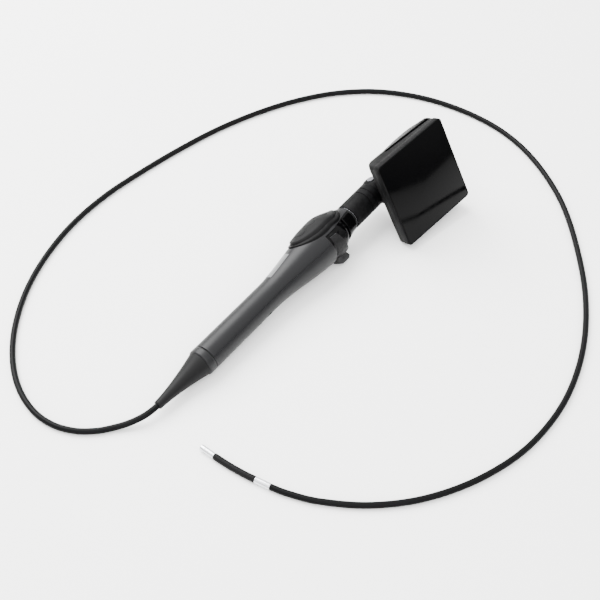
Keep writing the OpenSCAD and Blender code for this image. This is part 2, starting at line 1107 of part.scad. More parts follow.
module screen_cover() {
    w = screen_w - 2 * cover_inset;
    color(matte)
        lay_screen()
            difference() {
                union() {
                    difference() {
                        intersection() {
                            cover_form(0, cover_inset, cover_top, w);
                            drafted_form();
                            round_plate(
                                [sx(cover_inset), -w / 2, 0],
                                [sx(cover_top), w / 2, frame_z],
                                screen_corner - cover_inset
                            );
                        }
                        intersection() {
                            cover_form(
                                cover_wall, cover_inset + cover_wall, cover_top - cover_wall, w - 2 * cover_wall
                            );
                            scale((w - 2 * cover_wall) / w)
                                translate([0, 0, 1])
                                    drafted_form();
                        }
                    }
                    intersection() {
                        cover_form(eps, cover_inset, cover_top, w - 1);
                        drafted_form();
                        union() {
                            screw_posts(3.2, 0, frame_z - 0.1);
                            slot_space(1.6, slot_deep + 1.6);
                        }
                    }
                }
                slot_space(0, slot_deep);
                screw_posts(cover_screw_r + 0.1, 0, frame_z + 1);
                screw_posts(2.8, 0, frame_z - 5);
                for (m = [0, 1])
                    mirror([0, m, 0])
                        for (x = [-2.5, 6.5])
                            translate([x, base_w / 2 - 3.5, 0])
                                cylinder(r = 1.2, h = seat_z + 4);
            }
}

module cover_screws() {
    color(steel)
        lay_screen()
            union() {
                screw_posts(2.6, frame_z - 6.4, frame_z - 5.05);
                screw_posts(cover_screw_r, frame_z - 5.2, frame_z + 2.6);
            }
}

module screen_frame() {
    color(black)
        lay_screen()
            difference() {
                round_plate(
                    [sx(0), -screen_w / 2, frame_z + 0.02],
                    [sx(screen_h), screen_w / 2, glass_z],
                    screen_corner
                );
                block(
                    [sx(rim_in), rim_in - screen_w / 2, 0],
                    [sx(screen_h - rim_in), screen_w / 2 - rim_in, glass_z + 1]
                );
                round_plate(
                    [sx(0.9), 0.9 - screen_w / 2, glass_z - glass_t],
                    [sx(screen_h - 0.9), screen_w / 2 - 0.9, glass_z + 1],
                    screen_corner - 0.9
                );
            }
    color(black)
        lay_screen()
            difference() {
                union() {
                    screw_posts(3.2, frame_z + 0.02, frame_z + 2.8);
                    for (x = [0, 1], y = [0, 1])
                        mirror([0, y, 0])
                            translate([x * (screen_h - 2 * post_in), 0, 0])
                                post_web();
                }
                screw_posts(cover_screw_r, frame_z - 1, frame_z + 2.65);
            }
}

// Web from a screw post to the frame's side
module post_web() {
    block(
        [sx(post_in) - 1, screen_w / 2 - post_in, frame_z + 0.02],
        [sx(post_in) + 1, screen_w / 2 - rim_in + 1, frame_z + 2.8]
    );
}

module cover_glass() {
    color([0.02, 0.02, 0.03])
        lay_screen()
            round_plate(
                [sx(1), 1 - screen_w / 2, glass_z - glass_t + 0.02],
                [sx(screen_h - 1), screen_w / 2 - 1, glass_z - 0.02],
                screen_corner - 1
            );
}

module display_panel() {
    color([0.15, 0.15, 0.18])
        lay_screen()
            block(
                [sx(rim_in + 1), rim_in + 1 - screen_w / 2, glass_z - glass_t - panel_t],
                [sx(screen_h - rim_in - 1), screen_w / 2 - rim_in - 1, glass_z - glass_t - 0.05]
            );
}

module display_board() {
    z0 = frame_z - 4.5;
    color(board)
        lay_screen()
            difference() {
                block(
                    [sx(8), 8 - screen_w / 2, z0],
                    [sx(screen_h - 8), screen_w / 2 - 12, z0 + 1.4]
                );
                screw_posts(4, z0 - 1, z0 + 3);
            }
}

module port_block() {
    color(steel)
        lay_screen()
            translate([
                sx(slot_x),
                screen_w / 2 - cover_inset - slot_deep,
                glass_z - slot_back - slot_w / 2 - 1.5
            ])
                rotate([0, -slot_lean, 0])
                    for (p = [[4, 9], [17, 12], [33, 13]])
                        block([p[0], 0.05, 0.5], [p[0] + p[1], 2.2, slot_w - 0.5]);
}

// ---- Insertion tube ----

function unit(v) = v / norm(v);

// Catmull-Rom point between p1 and p2
function spline(p0, p1, p2, p3, t) =
    0.5 * ((2 * p1) + (p2 - p0) * t + (2 * p0 - 5 * p1 + 4 * p2 - p3) * t * t
    + (3 * p1 - p0 - 3 * p2 + p3) * t * t * t);

route_last = len(route) - 1;
start_lead = route[0] + relief_len / 4 * [cos(rise), 0, sin(rise)];
end_lead = route[route_last] + 12 * [cos(ring_dir), sin(ring_dir), 0];
function route_at(i) = i < 0 ? start_lead : i > route_last ? end_lead : route[i];

tube_line = concat(
    [
        for (i = [0 : route_last - 1], k = [0 : route_steps - 1])
            spline(route_at(i - 1), route_at(i), route_at(i + 1), route_at(i + 2), k / route_steps)
    ],
    [route[route_last]]
);
tube_last = len(tube_line) - 1;

function tube_dir(i) =
    i == 0 ? [-cos(rise), 0, -sin(rise)]
    : i == tube_last ? [cos(ring_dir), sin(ring_dir), 0]
    : unit(tube_line[i + 1] - tube_line[i - 1]);

function tube_ring(i) =
    let (d = tube_dir(i), side = unit(cross([0, 0, 1], d)), up = cross(d, side))
    [
        for (k = [0 : route_sides - 1])
            let (a = 360 * (k + 0.5) / route_sides)
            tube_line[i] + tube_d / 2 * (cos(a) * side + sin(a) * up)
    ];

module insertion_tube() {
    n = route_sides;
    points = [for (i = [0 : tube_last]) each tube_ring(i)];
    sides = [
        for (i = [0 : tube_last - 1], k = [0 : n - 1])
            [i * n + k, (i + 1) * n + k, (i + 1) * n + (k + 1) % n, i * n + (k + 1) % n]
    ];
    start = [for (k = [0 : n - 1]) k];
    finish = [for (k = [n - 1 : -1 : 0]) tube_last * n + k];
    color(matte)
        polyhedron(points = points, faces = concat([start], sides, [finish]), convexity = 10);
}

module crimp_ring() {
    color(steel)
        lay_ring()
            difference() {
                rod_x(ring_d / 2, 0.02, ring_len - 0.02);
                rod_x(ring_d / 2 - 1, 2, ring_len);
            }
}

// Vertebra i of the bending section: its hind end is joint i - 1 and its fore end joint i
module link(i) {
    hind = i == 1 ? 0.02 : link_gap;
    fore = i == link_count ? link_pitch / 2 - 0.02 : link_pitch - link_gap;
    len = i == 1 ? link_pitch / 2 - link_gap : fore;
    color(steel)
        lay_joint(i - 1)
            union() {
                difference() {
                    rod_x(link_r, hind, len);
                    rod_x(link_bore, hind - 1, len + 1);
                }
                if (i > 1)
                    hind_lugs(hind);
                if (i < link_count)
                    translate([i == 1 ? link_pitch / 2 : link_pitch, 0, 0])
                        fore_lugs();
            }
}

// Lugs with rivets that reach over the next joint
module fore_lugs() {
    for (m = [0, 1])
        mirror([0, 0, m]) {
            translate([0, 0, 1.75])
                cylinder(r = lug_r, h = 0.3);
            block([-link_gap - 0.4, -lug_r, 1.75], [0, lug_r, 2.05]);
            block([-link_gap - 0.4, -lug_r, 1.75], [-link_gap - 0.05, lug_r, 2.3]);
            translate([0, 0, 1.2])
                cylinder(r = rivet_r, h = 0.6);
        }
}

// Lugs with bores that reach back to the rivets
module hind_lugs(reach) {
    for (m = [0, 1])
        mirror([0, 0, m])
            difference() {
                union() {
                    translate([0, 0, 1.3])
                        cylinder(r = lug_r, h = 0.4);
                    block([0, -lug_r, 1.3], [reach + 0.6, lug_r, 1.7]);
                    block([reach + 0.25, -lug_r, 1.3], [reach + 0.6, lug_r, 2.3]);
                }
                cylinder(r = rivet_r + run_fit, h = 5);
            }
}

// Length of rubber cover that belongs to vertebra i
module sleeve(i) {
    hind = i == 1 ? 0.05 : sleeve_gap;
    fore = i == link_count ? link_pitch / 2 - 0.05 : link_pitch - sleeve_gap;
    len = i == 1 ? link_pitch / 2 - sleeve_gap : fore;
    color(matte)
        lay_joint(i - 1)
            difference() {
                rod_x(cover_d / 2, hind, len);
                rod_x(link_r + 0.02, hind - 1, len + 1);
            }
}

module lay_tip() {
    lay_joint(joint_count)
        translate([link_pitch / 2, 0, 0])
            children();
}

module tip_housing() {
    color(steel)
        lay_tip()
            difference() {
                rod_x(tip_d / 2, 0, tip_len);
                rod_x(tip_d / 2 - 0.4, tip_len - 0.8, tip_len + 1);
                rod_x(1.3 + 0.02, tip_len - 7, tip_len);
            }
}

module camera_module() {
    color(black)
        lay_tip()
            rod_x(1.3, tip_len - 6.9, tip_len - 0.2);
}

module tip_leds() {
    color(white)
        lay_tip()
            for (a = [0 : 60 : 300])
                rotate([a, 0, 0])
                    translate([0, 0, 1.82])
                        rod_x(0.4, tip_len - 0.79, tip_len - 0.4);
}

front_shell();
rear_shell();
nose_ring();
strain_relief();
tube_anchor();
shell_screws();
lever_guard();
keypad_rim();
keypad_pad();
key_up();
key_shutter();
key_down();
keypad_board();
main_board();
battery_cell();
battery_contacts();
wire_stops();
wire_conduits();
lever_bushes();
swivel_bush();
seal_ring();
label_plate();
bend_lever();
lever_shaft();
wire_pulley();
lever_caps();
pull_wire_front();
pull_wire_rear();
neck_barrel();
wave_washer();
retaining_ring();
hinge_bracket();
hinge_pin();
hinge_washers();
bracket_screws();
screen_cover();
screen_frame();
cover_glass();
display_panel();
display_board();
port_block();
cover_screws();
insertion_tube();
crimp_ring();
link(1);  // link_1
link(2);  // link_2
link(3);  // link_3
link(4);  // link_4
link(5);  // link_5
link(6);  // link_6
sleeve(1);  // sleeve_1
sleeve(2);  // sleeve_2
sleeve(3);  // sleeve_3
sleeve(4);  // sleeve_4
sleeve(5);  // sleeve_5
sleeve(6);  // sleeve_6
tip_housing();
camera_module();
tip_leds();
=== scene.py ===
import math

import bmesh
import bpy
from mathutils import Matrix, Vector


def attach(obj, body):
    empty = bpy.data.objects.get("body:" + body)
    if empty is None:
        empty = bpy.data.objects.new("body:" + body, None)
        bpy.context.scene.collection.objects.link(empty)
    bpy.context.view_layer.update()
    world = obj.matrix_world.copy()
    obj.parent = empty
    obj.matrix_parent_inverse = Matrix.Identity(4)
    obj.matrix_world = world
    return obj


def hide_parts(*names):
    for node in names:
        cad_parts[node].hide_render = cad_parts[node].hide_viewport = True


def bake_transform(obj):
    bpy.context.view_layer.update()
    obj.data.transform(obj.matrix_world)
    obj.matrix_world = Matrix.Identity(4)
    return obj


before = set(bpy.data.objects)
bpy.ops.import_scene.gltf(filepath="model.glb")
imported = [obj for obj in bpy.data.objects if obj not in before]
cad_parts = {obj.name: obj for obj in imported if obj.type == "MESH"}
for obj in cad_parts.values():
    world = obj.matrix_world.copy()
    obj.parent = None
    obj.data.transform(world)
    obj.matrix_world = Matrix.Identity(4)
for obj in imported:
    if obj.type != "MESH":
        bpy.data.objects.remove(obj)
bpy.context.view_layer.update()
print("frame loaded")

# where the handle lies, in millimetres and degrees, as in the CAD
pose = {
    "standX": -131, "standY": 22, "rise": 3.4, "roll": -41,
    "noseRadius": 12.9, "noseSoft": 1.2, "neckTurn": 104, "pinX": 252, "lean": 7,
}


def turn(degrees, axis):
    return Matrix.Rotation(math.radians(degrees), 4, axis)


def shift(x, y, z):
    return Matrix.Translation((x, y, z))


toMetres = Matrix.Scale(0.001, 4)
slope = math.radians(pose["rise"])
noseHeight = pose["noseRadius"] * math.cos(slope) - pose["noseSoft"] * math.sin(slope)
handleFrame = (
    toMetres @ shift(pose["standX"], pose["standY"], noseHeight)
    @ turn(-pose["rise"], "Y") @ turn(pose["roll"], "X")
)
neckFrame = handleFrame @ turn(pose["neckTurn"], "X")
screenFrame = neckFrame @ shift(pose["pinX"], 0, 0) @ turn(-pose["lean"], "Y")


# ---- camera ----

camera = {"place": (-0.5577, -0.4234, 0.7986), "target": (-0.01305, 0.00715, 0.0), "lens": 70.2, "roll": 0.2}


# a new object in the scene for a mesh, a camera or a lamp
def newObject(name, data):
    made = bpy.data.objects.new(name, data)
    bpy.context.collection.objects.link(made)
    return made


def facing(place, target):
    look = Vector(target) - Vector(place)
    return Matrix.Translation(place) @ look.to_track_quat("-Z", "Y").to_matrix().to_4x4()


def makeCamera():
    data = bpy.data.cameras.new("mainCamera")
    data.lens = camera["lens"]
    data.sensor_width = 36
    data.clip_start = 0.01
    data.clip_end = 50
    holder = newObject("mainCamera", data)
    holder.matrix_world = facing(camera["place"], camera["target"]) @ turn(camera["roll"], "Z")
    bpy.context.scene.camera = holder


makeCamera()
print("camera set")


# ---- surface effects shared by the materials ----

def newGroup(name, inputs, outputs):
    group = bpy.data.node_groups.new(name, "ShaderNodeTree")
    for label, kind, value in inputs:
        socket = group.interface.new_socket(name=label, in_out="INPUT", socket_type=kind)
        if value is not None:
            socket.default_value = value
    for label, kind in outputs:
        group.interface.new_socket(name=label, in_out="OUTPUT", socket_type=kind)
    return group, group.nodes.new("NodeGroupInput"), group.nodes.new("NodeGroupOutput")


def addNode(tree, kind, values=None, **settings):
    made = tree.nodes.new(kind)
    for key, value in settings.items():
        setattr(made, key, value)
    for key, value in (values or {}).items():
        made.inputs[key].default_value = value
    return made


# moulded grain: a fine pebble with slow patches over it
def buildGrain():
    group, start, end = newGroup(
        "mouldGrain",
        [("Vector", "NodeSocketVector", None), ("Scale", "NodeSocketFloat", 900.0),
         ("Patch Scale", "NodeSocketFloat", 40.0)],
        [("Height", "NodeSocketFloat"), ("Patch", "NodeSocketFloat")],
    )
    link = group.links.new
    pebble = addNode(group, "ShaderNodeTexVoronoi", feature="SMOOTH_F1")
    fine = addNode(group, "ShaderNodeTexNoise", {"Detail": 4.0, "Roughness": 0.6})
    patch = addNode(group, "ShaderNodeTexNoise", {"Detail": 3.0, "Roughness": 0.55})
    mix = addNode(group, "ShaderNodeMath", {1: 0.6}, operation="MULTIPLY_ADD")
    for texture in (pebble, fine, patch):
        link(start.outputs["Vector"], texture.inputs["Vector"])
    link(start.outputs["Scale"], pebble.inputs["Scale"])
    link(start.outputs["Scale"], fine.inputs["Scale"])
    link(start.outputs["Patch Scale"], patch.inputs["Scale"])
    link(pebble.outputs["Distance"], mix.inputs[0])
    link(fine.outputs["Fac"], mix.inputs[2])
    link(mix.outputs[0], end.inputs["Height"])
    link(patch.outputs["Fac"], end.inputs["Patch"])
    return group


# worn edges and painted edge highlights: a lighter colour on the outer corners, broken up by noise; partly
# real rubbing, partly painted highlight where light catches the edges
def buildWearAndHighlight():
    group, start, end = newGroup(
        "edgeRubAndHighlight",
        [("Vector", "NodeSocketVector", None), ("Amount", "NodeSocketFloat", 0.5)],
        [("Mask", "NodeSocketFloat")],
    )
    link = group.links.new
    shape = addNode(group, "ShaderNodeNewGeometry")
    corners = addNode(group, "ShaderNodeMapRange", {"From Min": 0.51, "From Max": 0.6})
    noise = addNode(group, "ShaderNodeTexNoise", {"Scale": 260.0, "Detail": 5.0, "Roughness": 0.7})
    broken = addNode(group, "ShaderNodeMapRange", {"From Min": 0.3, "From Max": 0.62})
    both = addNode(group, "ShaderNodeMath", operation="MULTIPLY")
    scaled = addNode(group, "ShaderNodeMath", operation="MULTIPLY")
    link(shape.outputs["Pointiness"], corners.inputs["Value"])
    link(start.outputs["Vector"], noise.inputs["Vector"])
    link(noise.outputs["Fac"], broken.inputs["Value"])
    link(corners.outputs["Result"], both.inputs[0])
    link(broken.outputs["Result"], both.inputs[1])
    link(both.outputs[0], scaled.inputs[0])
    link(start.outputs["Amount"], scaled.inputs[1])
    link(scaled.outputs[0], end.inputs["Mask"])
    return group


# crossing strands of a braid, on a UV map of metres along and turns around; the second output masks painted
# shade in the low spots between strands
def buildBraid():
    group, start, end = newGroup(
        "braidWeave",
        [("Vector", "NodeSocketVector", None), ("Strands", "NodeSocketFloat", 12.0),
         ("Pitch", "NodeSocketFloat", 700.0)],
        [("Height", "NodeSocketFloat"), ("Gap Shade", "NodeSocketFloat")],
    )
    link = group.links.new
    split = addNode(group, "ShaderNodeSeparateXYZ")
    along = addNode(group, "ShaderNodeMath", operation="MULTIPLY")
    around = addNode(group, "ShaderNodeMath", operation="MULTIPLY")
    link(start.outputs["Vector"], split.inputs[0])
    link(split.outputs["X"], along.inputs[0])
    link(start.outputs["Pitch"], along.inputs[1])
    link(split.outputs["Y"], around.inputs[0])
    link(start.outputs["Strands"], around.inputs[1])
    waves = []
    for step in ("ADD", "SUBTRACT"):
        lean = addNode(group, "ShaderNodeMath", operation=step)
        link(along.outputs[0], lean.inputs[0])
        link(around.outputs[0], lean.inputs[1])
        wave = addNode(group, "ShaderNodeMath", {1: 1.0}, operation="PINGPONG")
        link(lean.outputs[0], wave.inputs[0])
        waves.append(wave)
    top = addNode(group, "ShaderNodeMath", operation="MAXIMUM")
    # painted shade mask: high where the braid's height is low, between the strands
    gap = addNode(group, "ShaderNodeMapRange", {"From Min": 0.75, "From Max": 0.3})
    link(waves[0].outputs[0], top.inputs[0])
    link(waves[1].outputs[0], top.inputs[1])
    link(top.outputs[0], end.inputs["Height"])
    link(top.outputs[0], gap.inputs["Value"])
    link(gap.outputs["Result"], end.inputs["Gap Shade"])
    return group


grainGroup = buildGrain()
wearAndHighlightGroup = buildWearAndHighlight()
braidGroup = buildBraid()


def mixColor(tree, factor, first, second):
    mix = addNode(tree, "ShaderNodeMix", data_type="RGBA")
    tree.links.new(factor, mix.inputs["Factor"])
    for value, socket in ((first, mix.inputs[6]), (second, mix.inputs[7])):
        if isinstance(value, bpy.types.NodeSocket):
            tree.links.new(value, socket)
        else:
            socket.default_value = (*value, 1)
    return mix.outputs[2]


def newMaterial(name, specular):
    material = bpy.data.materials.new(name)
    material.use_nodes = True
    tree = material.node_tree
    shader = tree.nodes["Principled BSDF"]
    shader.inputs["Specular IOR Level"].default_value = specular
    return material, tree, shader, addNode(tree, "ShaderNodeTexCoord")


# one recipe for every moulded, rubber or metal finish
def finish(
    name, color, patchColor, rough, grain=900, depth=0.03, bump=0.25, edgeWearAndHighlight=0.3,
    wornAndHighlitColor=(0.3, 0.3, 0.31), metallic=0.0, coat=0.0, coatRough=0.1, specular=0.5, patch=35,
    stretch=None
):
    material, tree, shader, place = newMaterial(name, specular)
    link = tree.links.new
    shader.inputs["Metallic"].default_value = metallic
    shader.inputs["Coat Weight"].default_value = coat
    shader.inputs["Coat Roughness"].default_value = coatRough
    vector = place.outputs["Object"]
    if stretch:
        mapping = addNode(tree, "ShaderNodeMapping", {"Rotation": stretch[0], "Scale": stretch[1]})
        link(vector, mapping.inputs["Vector"])
        vector = mapping.outputs["Vector"]
    skin = addNode(tree, "ShaderNodeGroup", node_tree=grainGroup)
    skin.inputs["Scale"].default_value = grain
    skin.inputs["Patch Scale"].default_value = patch
    rubAndHighlight = addNode(tree, "ShaderNodeGroup", node_tree=wearAndHighlightGroup)
    rubAndHighlight.inputs["Amount"].default_value = edgeWearAndHighlight
    link(vector, skin.inputs["Vector"])
    link(place.outputs["Object"], rubAndHighlight.inputs["Vector"])
    body = mixColor(tree, skin.outputs["Patch"], color, patchColor)
    # lighter colour on convex edges: partly real wear, partly painted edge highlight
    link(mixColor(tree, rubAndHighlight.outputs["Mask"], body, wornAndHighlitColor), shader.inputs["Base Color"])
    shine = addNode(tree, "ShaderNodeMapRange", {"From Min": 0.3, "From Max": 0.7, "To Min": rough[0],
        "To Max": rough[1]})
    link(skin.outputs["Patch"], shine.inputs["Value"])
    link(shine.outputs["Result"], shader.inputs["Roughness"])
    dent = addNode(tree, "ShaderNodeBump", {"Strength": bump, "Distance": depth * 0.001})
    link(skin.outputs["Height"], dent.inputs["Height"])
    link(dent.outputs["Normal"], shader.inputs["Normal"])
    return material


shellPlastic = finish(
    "shellPlastic", (0.0015, 0.0016, 0.0021), (0.0022, 0.0023, 0.0029), (0.38, 0.46), grain=1600,
    depth=0.03, bump=0.25, edgeWearAndHighlight=0.25, wornAndHighlitColor=(0.02, 0.02, 0.022), specular=0.2,
)
softRubber = finish(
    "softRubber", (0.0016, 0.0016, 0.0018), (0.0026, 0.0026, 0.0028), (0.5, 0.62), grain=1300,
    depth=0.05, bump=0.35, edgeWearAndHighlight=0.25, wornAndHighlitColor=(0.014, 0.014, 0.014), specular=0.12,
)
padRubber = finish(
    "padRubber", (0.0028, 0.0028, 0.003), (0.0042, 0.0042, 0.0044), (0.5, 0.6), grain=1500, depth=0.06,
    bump=0.4, edgeWearAndHighlight=0.3, wornAndHighlitColor=(0.022, 0.022, 0.022), specular=0.09,
)
# lever edges much lighter than the body: partly real wear, partly painted edge highlight
leverTexture = finish(
    "leverTexture", (0.0008, 0.0008, 0.0009), (0.008, 0.008, 0.0083), (0.38, 0.6), grain=620,
    depth=0.3, bump=0.9, edgeWearAndHighlight=0.7, wornAndHighlitColor=(0.07, 0.07, 0.073), patch=420, specular=0.12,
)
glossBlack = finish(
    "glossBlack", (0.0006, 0.0006, 0.0007), (0.0009, 0.0009, 0.001), (0.12, 0.2), grain=500,
    depth=0.01, bump=0.08, edgeWearAndHighlight=0.15, wornAndHighlitColor=(0.008, 0.008, 0.008), specular=0.06,
)
barrelMatte = finish(
    "barrelMatte", (0.0007, 0.0007, 0.0008), (0.0013, 0.0013, 0.0014), (0.45, 0.58), grain=1300,
    depth=0.06, bump=0.45, edgeWearAndHighlight=0.35, wornAndHighlitColor=(0.016, 0.016, 0.017), specular=0.045,
)
screenPlastic = finish(
    "screenPlastic", (0.0007, 0.0007, 0.0008), (0.0013, 0.0013, 0.0014), (0.4, 0.52), grain=1500,
    depth=0.05, bump=0.35, edgeWearAndHighlight=0.6, wornAndHighlitColor=(0.016, 0.016, 0.016), specular=0.045,
)
brightMetal = finish(
    "brightMetal", (0.72, 0.73, 0.75), (0.60, 0.61, 0.63), (0.22, 0.32), grain=900, depth=0.012,
    bump=0.25, edgeWearAndHighlight=0.2, wornAndHighlitColor=(0.8, 0.8, 0.82), metallic=1.0, stretch=((0, 0, 0), (6, 0.6, 6)),
)
screwSteel = finish(
    "screwSteel", (0.25, 0.25, 0.27), (0.18, 0.18, 0.2), (0.25, 0.4), grain=700, depth=0.02, bump=0.2,
    metallic=1.0,
)
machinedBrass = finish(
    "machinedBrass", (0.5, 0.34, 0.13), (0.4, 0.27, 0.1), (0.25, 0.38), grain=700, depth=0.02,
    bump=0.2, wornAndHighlitColor=(0.65, 0.5, 0.28), metallic=1.0,
)
boardGreen = finish(
    "boardGreen", (0.005, 0.035, 0.014), (0.008, 0.05, 0.02), (0.3, 0.45), grain=300, depth=0.03,
)
cellWrap = finish(
    "cellWrap", (0.012, 0.028, 0.09), (0.016, 0.036, 0.11), (0.25, 0.35), grain=200, depth=0.02,
)
labelFoil = finish(
    "labelFoil", (0.10, 0.102, 0.105), (0.14, 0.143, 0.146), (0.28, 0.42), grain=900, depth=0.01,
    bump=0.15, edgeWearAndHighlight=0.0, metallic=0.35,
)
lampWhite = finish(
    "lampWhite", (0.55, 0.54, 0.42), (0.6, 0.6, 0.5), (0.1, 0.2), grain=900, depth=0.01, bump=0.1,
    coat=0.6,
)
lensGlass = finish(
    "lensGlass", (0.002, 0.002, 0.006), (0.004, 0.003, 0.01), (0.03, 0.06), grain=300, depth=0.004,
    bump=0.05, edgeWearAndHighlight=0.0, coat=0.6, coatRough=0.02,
)


# cover glass: printed black behind a clear, slightly smudged face
def buildGlass():
    material, tree, shader, place = newMaterial("coverGlassBlack", 0.05)
    link = tree.links.new
    smudge = addNode(tree, "ShaderNodeTexNoise", {"Scale": 28.0, "Detail": 6.0, "Roughness": 0.65,
        "Distortion": 1.4})
    dust = addNode(tree, "ShaderNodeTexVoronoi", {"Scale": 520.0})
    speck = addNode(tree, "ShaderNodeMapRange", {"From Min": 0.09, "From Max": 0.03})
    link(place.outputs["Object"], smudge.inputs["Vector"])
    link(place.outputs["Object"], dust.inputs["Vector"])
    link(dust.outputs["Distance"], speck.inputs["Value"])
    body = mixColor(tree, smudge.outputs["Fac"], (0.0004, 0.0004, 0.0005), (0.0007, 0.0007, 0.0008))
    link(mixColor(tree, speck.outputs["Result"], body, (0.004, 0.004, 0.004)), shader.inputs["Base Color"])
    shine = addNode(tree, "ShaderNodeMapRange", {"From Min": 0.35, "From Max": 0.7, "To Min": 0.05,
        "To Max": 0.13})
    link(smudge.outputs["Fac"], shine.inputs["Value"])
    link(shine.outputs["Result"], shader.inputs["Roughness"])
    return material


# braided or plain sheath on a swept tube, which carries metres along and turns around in its UV map; the
# braid's low spots get a darker painted shade
def buildSheath(name, color, gapShadeColor, strands, pitch, depth, rough):
    material, tree, shader, place = newMaterial(name, 0.06)
    link = tree.links.new
    braid = addNode(tree, "ShaderNodeGroup", node_tree=braidGroup)
    braid.inputs["Strands"].default_value = strands
    braid.inputs["Pitch"].default_value = pitch
    skin = addNode(tree, "ShaderNodeGroup", node_tree=grainGroup)
    skin.inputs["Scale"].default_value = 1500
    skin.inputs["Patch Scale"].default_value = 60
    link(place.outputs["UV"], braid.inputs["Vector"])
    link(place.outputs["Object"], skin.inputs["Vector"])
    # painted shade: darker colour in the braid's low spots between strands
    tone = mixColor(tree, braid.outputs["Gap Shade"], color, gapShadeColor)
    shade = mixColor(tree, skin.outputs["Patch"], tone, color)
    link(shade, shader.inputs["Base Color"])
    shine = addNode(tree, "ShaderNodeMapRange", {"To Min": rough[0], "To Max": rough[1]})
    link(skin.outputs["Patch"], shine.inputs["Value"])
    link(shine.outputs["Result"], shader.inputs["Roughness"])
    dent = addNode(tree, "ShaderNodeBump", {"Strength": 0.5, "Distance": depth * 0.001})
    link(braid.outputs["Height"], dent.inputs["Height"])
    link(dent.outputs["Normal"], shader.inputs["Normal"])
    return material


coverGlassBlack = buildGlass()
tubeSheath = buildSheath(
    "tubeSheath", (0.0012, 0.0012, 0.0014), (0.0007, 0.0007, 0.0008), 10, 450, 0.05, (0.36, 0.48),
)
bendBraid = buildSheath(
    "bendBraid", (0.0045, 0.0045, 0.0047), (0.0006, 0.0006, 0.0006), 14, 900, 0.25, (0.4, 0.55),
)
print("materials made")


# ---- mesh helpers, all in millimetres ----

def fromMesh(mesh):
    bm = bmesh.new()
    bm.from_mesh(mesh)
    return bm


def helperObject(bm):
    mesh = bpy.data.meshes.new("helper")
    bm.to_mesh(mesh)
    bm.free()
    return newObject("helper", mesh)


# cut, join or intersect two closed meshes
def carve(bm, tool, how="DIFFERENCE"):
    target, cutter = helperObject(bm), helperObject(tool)
    step = target.modifiers.new("carve", "BOOLEAN")
    step.operation = how
    step.solver = "EXACT"
    step.object = cutter
    graph = bpy.context.evaluated_depsgraph_get()
    result = bpy.data.meshes.new_from_object(target.evaluated_get(graph))
    done = fromMesh(result)
    for holder in (target, cutter):
        old = holder.data
        bpy.data.objects.remove(holder)
        bpy.data.meshes.remove(old)
    bpy.data.meshes.remove(result)
    bmesh.ops.remove_doubles(done, verts=done.verts, dist=0.003)
    bmesh.ops.dissolve_degenerate(done, edges=done.edges, dist=0.003)
    return done


def vertsIn(made):
    return [g for g in made if isinstance(g, bmesh.types.BMVert)]


# how far an edge runs along X, Y and Z
def span(edge):
    a, b = (v.co for v in edge.verts)
    return Vector((abs(a.x - b.x), abs(a.y - b.y), abs(a.z - b.z)))


def sharpEdges(bm, degrees):
    limit = math.radians(degrees)
    return [e for e in bm.edges if len(e.link_faces) == 2 and e.calc_face_angle(0) > limit]


def soften(bm, edges, width, segments=2):
    bmesh.ops.bevel(
        bm, geom=edges, offset=width, offset_type="OFFSET", segments=segments, profile=0.5,
        affect="EDGES", clamp_overlap=True, material=-1,
    )


# a closed outline of [x, radius] points turned about X
def turned(points, steps=96):
    bm = bmesh.new()
    ring = [bm.verts.new((x, 0, r)) for x, r in points]
    edges = [bm.edges.new(pair) for pair in zip(ring, ring[1:] + ring[:1])]
    bmesh.ops.spin(
        bm, geom=ring + edges, cent=(0, 0, 0), axis=(1, 0, 0), angle=2 * math.pi, steps=steps,
        use_merge=True, use_duplicate=False,
    )
    bmesh.ops.remove_doubles(bm, verts=bm.verts, dist=0.002)
    bmesh.ops.dissolve_degenerate(bm, edges=bm.edges, dist=0.002)
    bmesh.ops.recalc_face_normals(bm, faces=bm.faces)
    return bm


def box(low, high, place=None):
    bm = bmesh.new()
    size = Vector(high) - Vector(low)
    middle = (Vector(high) + Vector(low)) / 2
    bmesh.ops.create_cube(bm, size=1, matrix=Matrix.Translation(middle) @ Matrix.Diagonal((*size, 1)))
    if place is not None:
        bmesh.ops.transform(bm, matrix=place, verts=bm.verts)
    return bm


def rod(radius, length, place, sides=48):
    bm = bmesh.new()
    bmesh.ops.create_cone(
        bm, cap_ends=True, segments=sides, radius1=radius, radius2=radius, depth=length, matrix=place
    )
    return bm


def ball(radius, place, sides=64):
    bm = bmesh.new()
    bmesh.ops.create_uvsphere(bm, u_segments=sides, v_segments=sides // 2, radius=radius, matrix=place)
    return bm


def joined(*parts):
    bm = bmesh.new()
    for part in parts:
        mesh = bpy.data.meshes.new("part")
        part.to_mesh(mesh)
        part.free()
        bm.from_mesh(mesh)
        bpy.data.meshes.remove(mesh)
    return bm


# turns a finished bmesh into a named piece on its body
def addPiece(name, bm, place, body, material, nodes=(), smooth=38):
    bmesh.ops.transform(bm, matrix=place, verts=bm.verts)
    limit = math.radians(smooth)
    for face in bm.faces:
        face.smooth = True
    for edge in bm.edges:
        edge.smooth = not (len(edge.link_faces) == 2 and edge.calc_face_angle(0) > limit)
    mesh = bpy.data.meshes.new(name)
    bm.to_mesh(mesh)
    bm.free()
    mesh.materials.append(material)
    piece = newObject(name, mesh)
    if body:
        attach(piece, body)
    if nodes:
        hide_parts(*nodes)
    return piece


